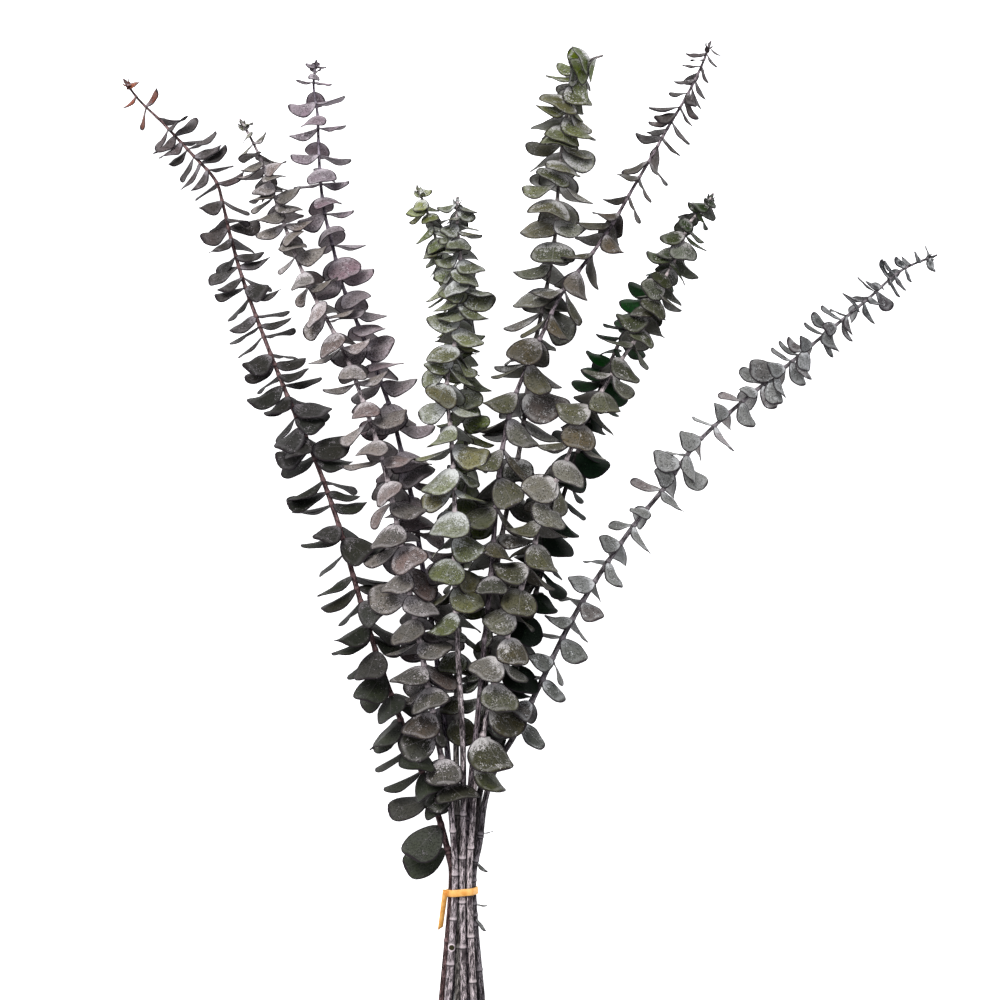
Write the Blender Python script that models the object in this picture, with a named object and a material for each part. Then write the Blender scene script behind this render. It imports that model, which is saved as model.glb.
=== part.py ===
"""A tied bunch of spiral eucalyptus, lying on a flat surface.

Ten cut stems pass through one flat rubber band and fan out above it. Each stem carries opposite
pairs of round, stalkless leaves, and each pair stands a quarter turn from the one below. A leafy
stem is one grown piece, so its leaves are joined to it in one solid. The places below are
measured from the middle of the band: X to the right, Y along the stems to their tips, Z up off
the surface. At the end the whole bunch is moved so that the origin is under its middle.
"""

import math
import random
from typing import NamedTuple

import bmesh
import bpy
from mathutils import Matrix, Vector
from mathutils.bvhtree import BVHTree

MM = 0.001
WELD = 0.01 * MM

STEM_SIDES_LEVEL = 0
ROUTE_STEP = 2 * MM
LONGEST_RUN = 50 * MM
MOST_TURN = 7
RING_STEP = 34 * MM
RING_RISE = 0.3 * MM
RINGS_ABOVE_BAND = 62 * MM
ROOT_SUNK = 0.7 * MM
BAND_REACH = 9 * MM
RING_STAGGER = 13 * MM

BLADE_THICKNESS = 0.8 * MM
CLEARANCE = 0.3 * MM
SMALL_LEAF = 22 * MM
FIRST_PAIR = 5 * MM
YOUNG_PAIRS = 4

ROUND_OUTLINE = ((0.28, 0.45), (0.78, 0.44))
SMALL_OUTLINE = ((0.38, 0.50), (0.95, 0.28))

AZIMUTH_JITTER = 22
DROOP_JITTER = 10
ROLL_JITTER = 20
SIZE_JITTER = 0.1
GAP_JITTER = 0.1
CUP = (0.08, 0.2)
CURL = (0.0, 0.14)
FACING_POWER = 1.5
YOUNG_GAP_POWER = 0.3
TURN_TRIES = (0, 12, -12, 24, -24, 38, -38, 55, -55)
DROOP_TRIES = (0, 10, -10, 20, -20, 32)
SIZE_TRIES = (1.0, 0.88, 0.76, 0.64)
GROUND_STEPS = 26

BAND_WIDTH = 5.3 * MM
BAND_THICKNESS = 0.8 * MM
BAND_GAP = 0.6 * MM
BAND_TILT = 5
BAND_CORNER_POINTS = 4
TAIL_WIDTH = 4.6 * MM
TAIL_START = Vector((-12.6, 1.5, 9.6)) * MM
TAIL_END = Vector((-16.6, -28.0, 9.0)) * MM
TAIL_TWIST = -38


class Stem(NamedTuple):
    """One leafy stem. Lengths are in millimetres and angles in degrees.

    Three numbers in a row hold for the tip, the middle and the lower end of the leafy part.
    """

    name: str
    route: tuple  # from the cut end to the tip
    radii: tuple  # cut end, band, tip
    gaps: tuple  # between pairs of leaves
    lengths: tuple  # of a leaf
    shape: tuple  # width over length
    droop: tuple  # of the leaves at the sides, towards the cut end
    face_droop: float  # of the leaves that point straight up or down
    lean: float  # how far the pairs are tipped towards the viewer above
    upright: float  # share by which the lowest pairs turn from the stem's direction to +Y
    phase: float  # direction of the first pair
    young: float  # size of the first pair over a full one
    bare: float  # Y below which there are no leaves
    colour: tuple


MIDDLE_FRONT = Stem(
    "stem_middle_front",
    ((1.5, -106, 14), (0, 0, 13.5), (0.8, 56, 21), (0.8, 109, 31), (-0.8, 146, 38), (-3, 184, 44),
     (-4.5, 221, 48), (-5.2, 254, 51), (-5.2, 296, 53), (-7.5, 341, 54), (-11, 380, 54), (-6, 407, 54),
     (-1.5, 433, 54), (0, 461, 53), (-3, 497, 52), (-3, 521, 50)),
    (2.6, 2.45, 0.8), (11, 16, 20), (22, 26, 28), (0.95, 1.05, 1.05), (20, 24, 20), 44, 20, 0, 30, 0.7, 196,
    (0.12, 0.13, 0.075),
)
LEFT_FRONT = Stem(
    "stem_left_front",
    ((-12, -101, 13.8), (-5.7, 0, 13.5), (-6.6, 41, 20), (-10.2, 79, 26), (-17.2, 112, 31), (-25.5, 158, 38),
     (-32.2, 195, 42), (-39.8, 232, 45), (-45.8, 266, 46), (-52.5, 300, 46), (-61.5, 334, 46),
     (-72.8, 368, 45), (-84.8, 400, 44), (-97.5, 425, 43), (-110, 448, 42), (-123, 476, 40),
     (-134, 506, 38), (-143, 531, 37), (-150, 550, 36), (-157.5, 566, 35), (-166, 581, 34)),
    (3.2, 2.45, 0.6), (10, 16, 19), (20, 27, 30), (0.85, 0.98, 1.05), (2, 6, 14), 34, 24, 0.5, 20, 0.5, 78,
    (0.20, 0.19, 0.16),
)
RIGHT_FRONT = Stem(
    "stem_right_front",
    ((9.6, -104, 14.2), (5.5, 0, 13.5), (7.5, 49, 20), (9.8, 86, 27), (15, 116, 33), (22.5, 154, 40),
     (33, 191, 46), (40.5, 219, 49), (51, 251, 52), (62, 292, 54), (76, 322, 55), (91, 356, 55),
     (103.5, 376, 55), (118.5, 400, 55), (133.5, 422, 54), (143, 444, 53), (152, 463, 52),
     (161, 480, 51), (169.5, 502, 50), (180, 512, 49), (187, 524, 48)),
    (2.7, 2.45, 0.6), (10, 16, 21), (20, 26, 30), (0.95, 1.08, 1.1), (30, 28, 24), 44, 20, 0.4, 70, 0.5, 96,
    (0.12, 0.12, 0.075),
)
RIGHT_ARCHED = Stem(
    "stem_right_arched",
    ((6.6, -104, 8.2), (2.8, 0, 8.7), (3.8, 41, 14), (6.8, 86, 21), (12, 135, 30), (16.5, 184, 37),
     (21, 232, 43), (24, 270, 46), (27, 308, 48), (31.5, 341, 49), (39, 371, 49), (51, 400, 49),
     (62, 424, 49), (73.5, 448, 48), (86, 465, 47), (97.5, 480, 46), (112.5, 502, 45), (128, 529, 44),
     (141, 551, 42), (154.5, 575, 41), (167, 596, 40), (178.5, 619, 38), (186, 639, 36)),
    (2.6, 2.45, 0.5), (11, 21, 26), (18, 29, 31), (0.5, 0.8, 0.95), (26, 34, 34), 44, 20, 0.3, 45, 0.75, 190,
    (0.15, 0.14, 0.10),
)
FAR_RIGHT = Stem(
    "stem_far_right",
    ((16.5, -100, 8.4), (8.2, 0, 8.7), (13.2, 38, 11.6), (17.6, 71, 14.4), (27, 98, 16), (40, 120, 18),
     (57, 154, 20), (79, 199, 21), (102, 238, 21), (130, 278, 21), (152, 305, 20), (176, 338, 20),
     (208.5, 368, 19), (242, 395, 18), (274.5, 422, 17), (304, 446, 16), (331, 469, 15), (358.5, 481, 13)),
    (2.6, 2.45, 0.5), (9, 16, 18), (15, 23, 24), (0.66, 0.76, 0.78), (10, 14, 14), 36, 30, 0, 30, 0.8, 128,
    (0.28, 0.30, 0.24),
)
FAR_LEFT = Stem(
    "stem_far_left",
    ((-17.4, -103, 8.2), (-8.3, 0, 8.7), (-10.8, 30, 11), (-22.5, 71, 15), (-43, 122, 18), (-61.5, 172, 21),
     (-79, 229, 22), (-93, 278, 22), (-111, 328, 22), (-130, 371, 22), (-148, 416, 21), (-164, 459, 20),
     (-174, 493, 19), (-180, 518, 18), (-186, 537, 18), (-204, 557, 16), (-226.5, 581, 15),
     (-244, 598, 13), (-256, 614, 12)),
    (2.6, 2.45, 0.5), (12, 18, 21), (20, 28, 36), (0.66, 0.7, 0.8), (6, 10, 12), 34, 26, 0.8, 45, 0.7, 22,
    (0.07, 0.08, 0.055),
)
LEFT_BACK = Stem(
    "stem_left_back",
    ((-9.8, -100, 3.2), (-5.5, 0, 3.9), (-7.5, 56, 9), (-12, 116, 16), (-19, 176, 21), (-25.5, 221, 23),
     (-31, 254, 24), (-37.5, 296, 24), (-46, 334, 24), (-53, 362, 24), (-61.5, 386, 24), (-70.5, 409, 24),
     (-82, 437, 23), (-91, 461, 23), (-97.5, 488, 22), (-103, 510, 21), (-106.5, 535, 20),
     (-108, 562, 19), (-109, 587, 18), (-112, 608, 16), (-110, 628, 15)),
    (2.6, 2.45, 0.5), (8, 17, 58), (20, 28, 28), (0.85, 1.1, 1.1), (4, 10, 18), 36, 22, 0.4, 0, 0.4, 100,
    (0.22, 0.19, 0.17),
)
HOOKED_BACK = Stem(
    "stem_hooked_back",
    ((3, -98, 3.2), (0, 0, 3.9), (4, 56, 9), (10.5, 101, 14), (16.5, 146, 18), (22, 206, 22),
     (27, 251, 23), (33, 285, 24), (41, 322, 24), (46.5, 356, 24), (51, 394, 25), (58.5, 431, 26),
     (64, 458, 27), (67.5, 480, 28), (70.5, 500, 28), (72, 529, 28), (75, 562, 28), (79, 589, 27),
     (85, 611, 26), (94.5, 625, 25), (106, 630, 24)),
    (2.6, 2.45, 0.6), (11, 22, 62), (26, 30, 28), (1.05, 1.25, 1.1), (24, 28, 26), 36, 18, 0.2, 0, 0.8, 100,
    (0.20, 0.21, 0.15),
)
MIDDLE_BACK = Stem(
    "stem_middle_back",
    ((-3.8, -102, 8.6), (-2.8, 0, 8.7), (-3.8, 56, 14), (-4.5, 116, 20), (-3, 184, 24), (0, 251, 26),
     (2, 311, 26), (3, 371, 26), (-1.5, 416, 26), (-10, 454, 27), (-16.5, 480, 28), (-24, 506, 28),
     (-34, 532, 28)),
    (2.6, 2.45, 0.5), (7, 26, 68), (19, 23, 24), (0.9, 1.0, 1.05), (26, 30, 28), 42, 20, 0, 20, 0.6, 110,
    (0.12, 0.15, 0.07),
)
RIGHT_BACK = Stem(
    "stem_right_back",
    ((12, -100, 3.2), (5.5, 0, 3.9), (9.5, 45, 6.8), (13.4, 75, 9), (21, 112, 13), (32, 146, 17),
     (43.5, 184, 21), (54, 221, 23), (65, 262, 24), (75, 296, 24), (90, 341, 25), (102, 375, 26),
     (117, 412, 27), (133.5, 439, 27), (154.5, 472, 28), (166.5, 497, 28)),
    (2.6, 2.45, 0.6), (13, 24, 56), (20, 25, 27), (0.95, 1.05, 1.05), (24, 28, 24), 42, 18, 0, 10, 0.6, 110,
    (0.05, 0.12, 0.045),
)

# Placed in this order: a leaf gives way to the stems before its own.
STEMS = (
    MIDDLE_FRONT, LEFT_FRONT, RIGHT_FRONT, RIGHT_ARCHED, FAR_RIGHT,
    FAR_LEFT, LEFT_BACK, HOOKED_BACK, MIDDLE_BACK, RIGHT_BACK,
)
BAND_COLOUR = (0.91, 0.45, 0.10)

# Leftover small leaves low on the outer right stem: Y, direction, droop, length, width over length.
LEFTOVERS = (
    (46, 20, -15, 9, 0.22),
    (24, 10, 35, 11, 0.7),
    (-8, 10, 15, 9, 0.7),
    (-17, 15, 62, 13, 0.75),
)


def smooth_route(points, step):
    """Points about one step apart on a smooth curve through the route's own points."""
    ends = [points[0] * 2 - points[1]] + points + [points[-1] * 2 - points[-2]]
    found = []
    for before, start, end, after in zip(ends, ends[1:], ends[2:], ends[3:]):
        pieces = max(1, round((end - start).length / step))
        for piece in range(pieces):
            t = piece / pieces
            found.append(
                (
                    2 * start
                    + (end - before) * t
                    + (2 * before - 5 * start + 4 * end - after) * t * t
                    + (3 * start - before - 3 * end + after) * t ** 3
                )
                / 2
            )
    return found + [points[-1]]


def blend(three, share):
    """The value at this share of the way along three values in a row."""
    if share < 0.5:
        return three[0] + (three[1] - three[0]) * share * 2
    return three[1] + (three[2] - three[1]) * (share * 2 - 1)


class Line:
    """The centre line of a stem, walked from its tip."""

    def __init__(self, stem):
        route = [Vector(point) * MM for point in stem.route]
        self.points = smooth_route(route, ROUTE_STEP)[::-1]
        self.walked = [0.0]
        for start, end in zip(self.points, self.points[1:]):
            self.walked.append(self.walked[-1] + (end - start).length)
        self.length = self.walked[-1]
        self.cut, self.band, self.tip = (radius * MM for radius in stem.radii)
        self.to_band = next(w for w, p in zip(self.walked, self.points) if p.y <= 0)
        self.stagger = STEMS.index(stem) * RING_STAGGER % RING_STEP
        self.stations = self.placed_stations()

    def placed_stations(self):
        """Distances from the tip, each with its radius: close in a bend, then a raised ring at each joint."""
        first_ring = self.from_tip(RINGS_ABOVE_BAND - self.stagger)
        found = [(0.0, self.tip)]
        for place in self.walked[1:]:
            turned = self.at(place)[1].angle(self.at(found[-1][0])[1])
            far = place - found[-1][0] > LONGEST_RUN or turned > math.radians(MOST_TURN)
            if far and place < first_ring - LONGEST_RUN / 4:
                found.append((place, self.radius(place)))
        rings = int((self.length - first_ring) / RING_STEP)
        for ring in range(rings):
            place = first_ring + ring * RING_STEP
            clear_of_band = abs(self.to_band - place) > BAND_REACH
            found.append((place, self.radius(place) + (RING_RISE if clear_of_band else 0)))
            found.append((place + RING_STEP / 2, self.radius(place + RING_STEP / 2)))
        found.append((self.length, self.radius(self.length)))
        return found

    def axis(self, distance):
        """The point this far from the tip on the straight runs between stations, where leaves are rooted."""
        for (start, _), (end, _) in zip(self.stations, self.stations[1:]):
            if distance <= end:
                share = (distance - start) / (end - start)
                return self.at(start)[0].lerp(self.at(end)[0], share)
        return self.points[-1]

    def at(self, distance):
        """The point this far from the tip, and the direction there towards the tip."""
        distance = min(max(distance, 0.0), self.length)
        last = len(self.points) - 2
        i = min(last, max(0, next(k for k, w in enumerate(self.walked) if w >= distance) - 1))
        run = self.walked[i + 1] - self.walked[i]
        share = (distance - self.walked[i]) / run
        towards = (self.points[max(i - 2, 0)] - self.points[min(i + 3, last + 1)]).normalized()
        return self.points[i].lerp(self.points[i + 1], share), towards

    def radius(self, distance):
        if distance < self.to_band:
            return self.tip + (self.band - self.tip) * (distance / self.to_band) ** 0.8
        share = (distance - self.to_band) / (self.length - self.to_band)
        return self.band + (self.cut - self.band) * share

    def from_tip(self, y):
        """How far from the tip the stem passes this Y."""
        return next(w for w, p in zip(self.walked, self.points) if p.y <= y)


def tube(name, line):
    """The bare stem as a closed mesh object."""
    curve = bpy.data.curves.new(name, "CURVE")
    curve.dimensions = "3D"
    curve.bevel_depth = 1.0
    curve.bevel_resolution = STEM_SIDES_LEVEL
    curve.use_fill_caps = True
    spline = curve.splines.new("POLY")
    spline.points.add(len(line.stations) - 1)
    for point, (distance, radius) in zip(spline.points, line.stations):
        point.co = (*line.at(distance)[0], 1)
        point.radius = radius
    drawn = bpy.data.objects.new(name + "_curve", curve)
    parts.objects.link(drawn)
    bpy.context.view_layer.update()
    graph = bpy.context.evaluated_depsgraph_get()
    mesh = bpy.data.meshes.new_from_object(drawn.evaluated_get(graph))
    weld(mesh)
    stem = bpy.data.objects.new(name, mesh)
    stem.matrix_world = drawn.matrix_world
    parts.objects.link(stem)
    bpy.data.objects.remove(drawn)
    return stem


def weld(mesh):
    work = bmesh.new()
    work.from_mesh(mesh)
    bmesh.ops.remove_doubles(work, verts=work.verts, dist=WELD)
    bmesh.ops.recalc_face_normals(work, faces=work.faces)
    work.to_mesh(mesh)
    work.free()


class Leaf(NamedTuple):
    """A leaf on its stem: where it grows, how it is turned, and its size."""

    axis: Vector
    stem_radius: float
    along_stem: Vector
    azimuth: float
    droop: float
    roll: float
    length: float
    width: float
    cup: float
    curl: float
    small: bool

    def turned(self):
        """The leaf's own axes: across, along, and out of its upper face."""
        side = self.along_stem.cross(Vector((0, 0, 1))).normalized()
        front = side.cross(self.along_stem)
        outward = side * math.cos(self.azimuth) + front * math.sin(self.azimuth)
        along = outward * math.cos(self.droop) - self.along_stem * math.sin(self.droop)
        across = self.along_stem.cross(outward)
        turn = Matrix.Rotation(self.roll, 3, along)
        across = turn @ across
        return across, along, across.cross(along)

    @property
    def root(self):
        """Where the blade starts, inside the stem."""
        return self.axis + self.turned()[1] * max(self.stem_radius - ROOT_SUNK, 0)

    def point(self, u, v):
        """The point this share of the length along, and this share of the width off the midrib."""
        across, along, up = self.turned()
        lift = self.cup * self.width * abs(v) ** 1.5 * 2 - self.curl * self.length * u * u
        return self.root + across * (v * self.width) + along * (u * self.length) + up * lift

    def outline(self):
        edge = SMALL_OUTLINE if self.small else ROUND_OUTLINE
        right = [self.point(u, v) for u, v in edge]
        left = [self.point(u, -v) for u, v in reversed(edge)]
        tip = [] if self.small else [self.point(1, 0)]
        return [self.root] + right + tip + left

    def faces(self):
        """Triangles of the blade: one at the narrow root, and the rest so that the edges can rise."""
        if self.small:
            return [(0, 1, 4), (1, 2, 3), (1, 3, 4)]
        return [(0, 1, 5), (1, 2, 3), (1, 3, 5), (3, 4, 5)]

    def shell(self, thickness):
        """The blade made this thick, as points and faces."""
        outline = self.outline()
        up = self.turned()[2] * thickness / 2
        count = len(outline)
        points = [point + up for point in outline] + [point - up for point in outline]
        faces = self.faces() + [(count + c, count + b, count + a) for a, b, c in self.faces()]
        faces += [(i, i + count, (i + 1) % count + count, (i + 1) % count) for i in range(count)]
        return points, faces

    def lowest(self):
        return min(point.z for point in self.shell(BLADE_THICKNESS)[0])


def lean(direction, angle):
    """A direction along the stem tipped up towards the viewer."""
    side = direction.cross(Vector((0, 0, 1))).normalized()
    return Matrix.Rotation(angle, 3, side) @ direction


def on_ground(leaf):
    """The leaf turned about its stem until it only touches the surface, or None."""
    if leaf.lowest() >= 0:
        return leaf
    flat = 0.0 if math.cos(leaf.azimuth) > 0 else math.pi
    if leaf.azimuth < 0 and flat:
        flat = -math.pi
    above = leaf._replace(azimuth=flat)
    if above.lowest() < 0:
        return None
    low, high = leaf.azimuth, flat
    for _ in range(GROUND_STEPS):
        middle = (low + high) / 2
        if leaf._replace(azimuth=middle).lowest() < 0:
            low = middle
        else:
            high = middle
    return leaf._replace(azimuth=high)


def blade_tree(leaf, thickness):
    return BVHTree.FromPolygons(*leaf.shell(thickness))


def clear(leaf, others, own):
    """Whether a leaf keeps its distance from the other stems and crosses no leaf of its own."""
    wider = leaf._replace(length=leaf.length + CLEARANCE, width=leaf.width + 2 * CLEARANCE)
    wide = blade_tree(wider, BLADE_THICKNESS + 2 * CLEARANCE)
    return not any(wide.overlap(other) for other in others + own)


def fitted(leaf, others, own):
    """The leaf turned, drooped or made smaller as little as it takes to be clear, or None."""
    for size in SIZE_TRIES:
        for off_droop in DROOP_TRIES:
            for turn in TURN_TRIES:
                tried = on_ground(
                    leaf._replace(
                        azimuth=leaf.azimuth + math.radians(turn),
                        droop=leaf.droop + math.radians(off_droop),
                        length=leaf.length * size,
                        width=leaf.width * size,
                    )
                )
                if tried and clear(tried, others, own):
                    return tried
    return None


def pairs_of(stem, line, draw):
    """The leaves of a stem as drawn, from the tip down, before they make room for others."""
    lowest = line.from_tip(stem.bare * MM)
    place = FIRST_PAIR
    number = 0
    while place < lowest:
        share = place / lowest
        heading = line.at(place)[1].lerp(Vector((0, 1, 0)), stem.upright * share).normalized()
        tipped = lean(heading, math.radians(stem.lean))
        young = min(1.0, stem.young + (1 - stem.young) * number / YOUNG_PAIRS)
        first = stem.phase + 90 * number + draw.uniform(-AZIMUTH_JITTER, AZIMUTH_JITTER)
        for azimuth in (first, first + 180):
            front = math.sin(math.radians(azimuth))
            side_droop = blend(stem.droop, share)
            droop = side_droop + (stem.face_droop - side_droop) * abs(front) ** FACING_POWER
            droop += draw.uniform(-DROOP_JITTER, DROOP_JITTER) - stem.lean * front
            length = blend(stem.lengths, share) * young * draw.uniform(1 - SIZE_JITTER, 1 + SIZE_JITTER)
            width = length * blend(stem.shape, share)
            yield Leaf(
                line.axis(place),
                line.radius(place),
                tipped,
                math.radians((azimuth + 180) % 360 - 180),
                math.radians(droop),
                math.radians(draw.uniform(-ROLL_JITTER, ROLL_JITTER)),
                length * MM,
                width * MM,
                draw.uniform(*CUP),
                draw.uniform(*CURL),
                length * MM < SMALL_LEAF,
            )
        jitter = draw.uniform(1 - GAP_JITTER, 1 + GAP_JITTER)
        place += blend(stem.gaps, share) * young ** YOUNG_GAP_POWER * jitter * MM
        number += 1


def leftovers(line):
    """The few small leaves left low on the outer right stem."""
    for y, azimuth, droop, length, shape in LEFTOVERS:
        place = line.from_tip(y * MM)
        yield Leaf(
            line.axis(place), line.radius(place), line.at(place)[1],
            math.radians(azimuth), math.radians(droop), 0.0,
            length * MM, length * shape * MM, 0.1, 0.1, True,
        )


def blade(leaf, name, collection):
    """The blade as a sheet drawn out to its thickness, placed in a collection."""
    mesh = bpy.data.meshes.new(name)
    work = bmesh.new()
    through = leaf.turned()[2] * BLADE_THICKNESS
    corners = [work.verts.new(point - through / 2) for point in leaf.outline()]
    sheet = [work.faces.new((corners[a], corners[b], corners[c])) for a, b, c in leaf.faces()]
    bmesh.ops.reverse_faces(work, faces=sheet)
    copy = bmesh.ops.extrude_face_region(work, geom=sheet, use_keep_orig=True)["geom"]
    upper = [item for item in copy if isinstance(item, bmesh.types.BMVert)]
    bmesh.ops.translate(work, verts=upper, vec=through)
    bmesh.ops.recalc_face_normals(work, faces=work.faces)
    work.to_mesh(mesh)
    work.free()
    collection.objects.link(bpy.data.objects.new(name, mesh))


def join_all(target, collection):
    """Joins a collection's objects to the target for good, and removes them."""
    union = target.modifiers.new("Leaves", "BOOLEAN")
    union.operation = "UNION"
    union.operand_type = "COLLECTION"
    union.collection = collection
    union.solver = "MANIFOLD"
    bpy.context.view_layer.update()
    graph = bpy.context.evaluated_depsgraph_get()
    joined = bpy.data.meshes.new_from_object(target.evaluated_get(graph))
    target.modifiers.remove(union)
    target.data = joined
    for piece in list(collection.objects):
        bpy.data.objects.remove(piece)
    bpy.data.collections.remove(collection)


def tree_of(obj):
    mesh = obj.data
    points = [vertex.co.copy() for vertex in mesh.vertices]
    return BVHTree.FromPolygons(points, [tuple(face.vertices) for face in mesh.polygons])


def paint(obj, name, colour, roughness):
    material = bpy.data.materials.new(name)
    material.use_nodes = True
    shader = material.node_tree.nodes["Principled BSDF"]
    shader.inputs["Base Color"].default_value = (*colour, 1)
    shader.inputs["Roughness"].default_value = roughness
    shader.inputs["Metallic"].default_value = 0
    obj.data.materials.clear()
    obj.data.materials.append(material)


def band_outline(corners, radius):
    """A loop at one distance round the outer stems, with each corner as an arc."""
    count = len(corners)
    found = []
    for i, corner in enumerate(corners):
        arriving = corner - corners[i - 1]
        leaving = corners[(i + 1) % count] - corner
        start = math.atan2(-arriving.x, arriving.y)
        turn = (math.atan2(-leaving.x, leaving.y) - start) % math.tau
        for step in range(BAND_CORNER_POINTS):
            angle = start + turn * step / (BAND_CORNER_POINTS - 1)
            found.append(corner + Vector((math.cos(angle), math.sin(angle))) * radius)
    return found


def band():
    """The flat rubber band round the stems, with its loose end."""
    low = [Vector(LEFT_BACK.route[1]), Vector(RIGHT_BACK.route[1])]
    high = [Vector(RIGHT_FRONT.route[1]), Vector(LEFT_FRONT.route[1])]
    corners = [low[0], low[1], Vector(FAR_RIGHT.route[1]), high[0], high[1], Vector(FAR_LEFT.route[1])]
    corners = [Vector((corner.x, corner.z)) * MM for corner in corners]
    inner = LEFT_BACK.radii[1] * MM + BAND_GAP
    curve = bpy.data.curves.new("tie_band", "CURVE")
    curve.dimensions = "2D"
    curve.fill_mode = "BOTH"
    curve.extrude = BAND_WIDTH / 2
    for radius in (inner, inner + BAND_THICKNESS):
        loop = band_outline(corners, radius)
        spline = curve.splines.new("POLY")
        spline.use_cyclic_u = True
        spline.points.add(len(loop) - 1)
        for point, place in zip(spline.points, loop):
            point.co = (place.x, place.y, 0, 1)
    drawn = bpy.data.objects.new("tie_band_curve", curve)
    parts.objects.link(drawn)
    bpy.context.view_layer.update()
    graph = bpy.context.evaluated_depsgraph_get()
    mesh = bpy.data.meshes.new_from_object(drawn.evaluated_get(graph))
    bpy.data.objects.remove(drawn)
    mesh.transform(Matrix.Rotation(math.radians(BAND_TILT), 4, "Z") @ Matrix.Rotation(math.pi / 2, 4, "X"))
    weld(mesh)
    made = bpy.data.objects.new("tie_band", mesh)
    parts.objects.link(made)
    tail = bpy.data.collections.new("band_tail")
    bpy.context.scene.collection.children.link(tail)
    bpy.ops.mesh.primitive_cube_add(size=1)
    strip = bpy.context.object
    strip.name = "band_tail_strip"
    run = TAIL_END - TAIL_START
    strip.data.transform(Matrix.Diagonal((TAIL_WIDTH, run.length, BAND_THICKNESS, 1)))
    pointed = run.to_track_quat("Y", "Z").to_matrix().to_4x4()
    twisted = pointed @ Matrix.Rotation(math.radians(TAIL_TWIST), 4, "Y")
    strip.data.transform(Matrix.Translation((TAIL_START + TAIL_END) / 2) @ twisted)
    for holder in list(strip.users_collection):
        holder.objects.unlink(strip)
    tail.objects.link(strip)
    join_all(made, tail)
    paint(made, "band_rubber", BAND_COLOUR, 0.5)
    return made


def put_origin_under_middle(objects):
    """Moves the whole bunch so that the origin is under the middle of its box."""
    points = [vertex.co for obj in objects for vertex in obj.data.vertices]
    low = Vector([min(p[i] for p in points) for i in range(3)])
    high = Vector([max(p[i] for p in points) for i in range(3)])
    shift = Matrix.Translation((-(low.x + high.x) / 2, -(low.y + high.y) / 2, -low.z))
    for obj in objects:
        obj.data.transform(shift)


def main():
    ring = band()
    lines = {stem.name: Line(stem) for stem in STEMS}
    bare = {stem.name: tube(stem.name, lines[stem.name]) for stem in STEMS}
    bare_trees = {name: tree_of(obj) for name, obj in bare.items()}
    finished = [tree_of(ring)]
    for number, stem in enumerate(STEMS):
        line = lines[stem.name]
        draw = random.Random(number + 1)
        others = finished + [tree for name, tree in bare_trees.items() if name != stem.name]
        grown = bpy.data.collections.new(stem.name + "_leaves")
        bpy.context.scene.collection.children.link(grown)
        leaves = list(pairs_of(stem, line, draw))
        if stem is FAR_RIGHT:
            leaves += leftovers(line)
        dropped = 0
        own = []
        for leaf in leaves:
            placed = fitted(leaf, others, own)
            if placed:
                own.append(blade_tree(placed, BLADE_THICKNESS))
                blade(placed, stem.name + "_leaf", grown)
            else:
                dropped += 1
        print(stem.name, len(leaves), "leaves,", dropped, "dropped")
        join_all(bare[stem.name], grown)
        paint(bare[stem.name], stem.name + "_leaf", stem.colour, 0.6)
        finished.append(tree_of(bare[stem.name]))
        del bare_trees[stem.name]
    put_origin_under_middle([ring, *bare.values()])


for old in list(bpy.data.objects):
    bpy.data.objects.remove(old)
parts = bpy.data.collections.new("eucalyptus_bunch")
bpy.context.scene.collection.children.link(parts)
main()
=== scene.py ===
"""The looks of a tied bunch of spiral eucalyptus, lying on a pale surface.

Each leafy stem of the frame is replaced by two pieces: its thin cupped leaves and its ringed wood.
The frame's own leaves come first. Their layout is worked out by the same rule and from the same
draws, and each is kept where the frame shows its corners. Finer leaves, the youngest shoots and the
round leaves of the hooked tip are added where there is room. The flat band is replaced by a softer
one. Layout places are in millimetres from the middle of the band, as the stems' routes are.
"""

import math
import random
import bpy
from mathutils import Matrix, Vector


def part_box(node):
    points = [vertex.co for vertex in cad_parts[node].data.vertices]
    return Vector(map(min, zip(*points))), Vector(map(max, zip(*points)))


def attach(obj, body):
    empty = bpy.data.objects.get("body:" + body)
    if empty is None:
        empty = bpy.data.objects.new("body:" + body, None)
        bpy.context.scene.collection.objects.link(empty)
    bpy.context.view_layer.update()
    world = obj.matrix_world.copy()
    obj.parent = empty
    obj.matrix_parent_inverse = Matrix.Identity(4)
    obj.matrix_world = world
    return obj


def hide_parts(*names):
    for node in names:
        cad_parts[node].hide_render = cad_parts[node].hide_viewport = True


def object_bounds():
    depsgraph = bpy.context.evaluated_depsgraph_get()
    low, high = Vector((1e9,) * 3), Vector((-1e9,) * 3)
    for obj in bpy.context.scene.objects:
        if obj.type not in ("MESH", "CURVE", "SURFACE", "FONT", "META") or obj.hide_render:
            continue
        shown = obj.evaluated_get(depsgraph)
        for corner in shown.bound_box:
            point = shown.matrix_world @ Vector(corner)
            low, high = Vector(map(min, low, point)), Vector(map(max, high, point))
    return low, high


bl_info = {
    "name": "Eucalyptus Bunch",
    "version": (1, 0, 0),
    "blender": (4, 5, 0),
    "location": "View3D > Sidebar > Eucalyptus",
    "description": "Leaves, wood and tie band of a lying eucalyptus bunch, with its studio",
    "category": "Add Mesh",
}

from typing import NamedTuple

import bpy
import numpy as np
from bpy.props import (
    CollectionProperty,
    FloatProperty,
    FloatVectorProperty,
    IntProperty,
    PointerProperty,
)
from mathutils import Matrix, Vector
from mathutils.bvhtree import BVHTree
from mathutils.kdtree import KDTree

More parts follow.
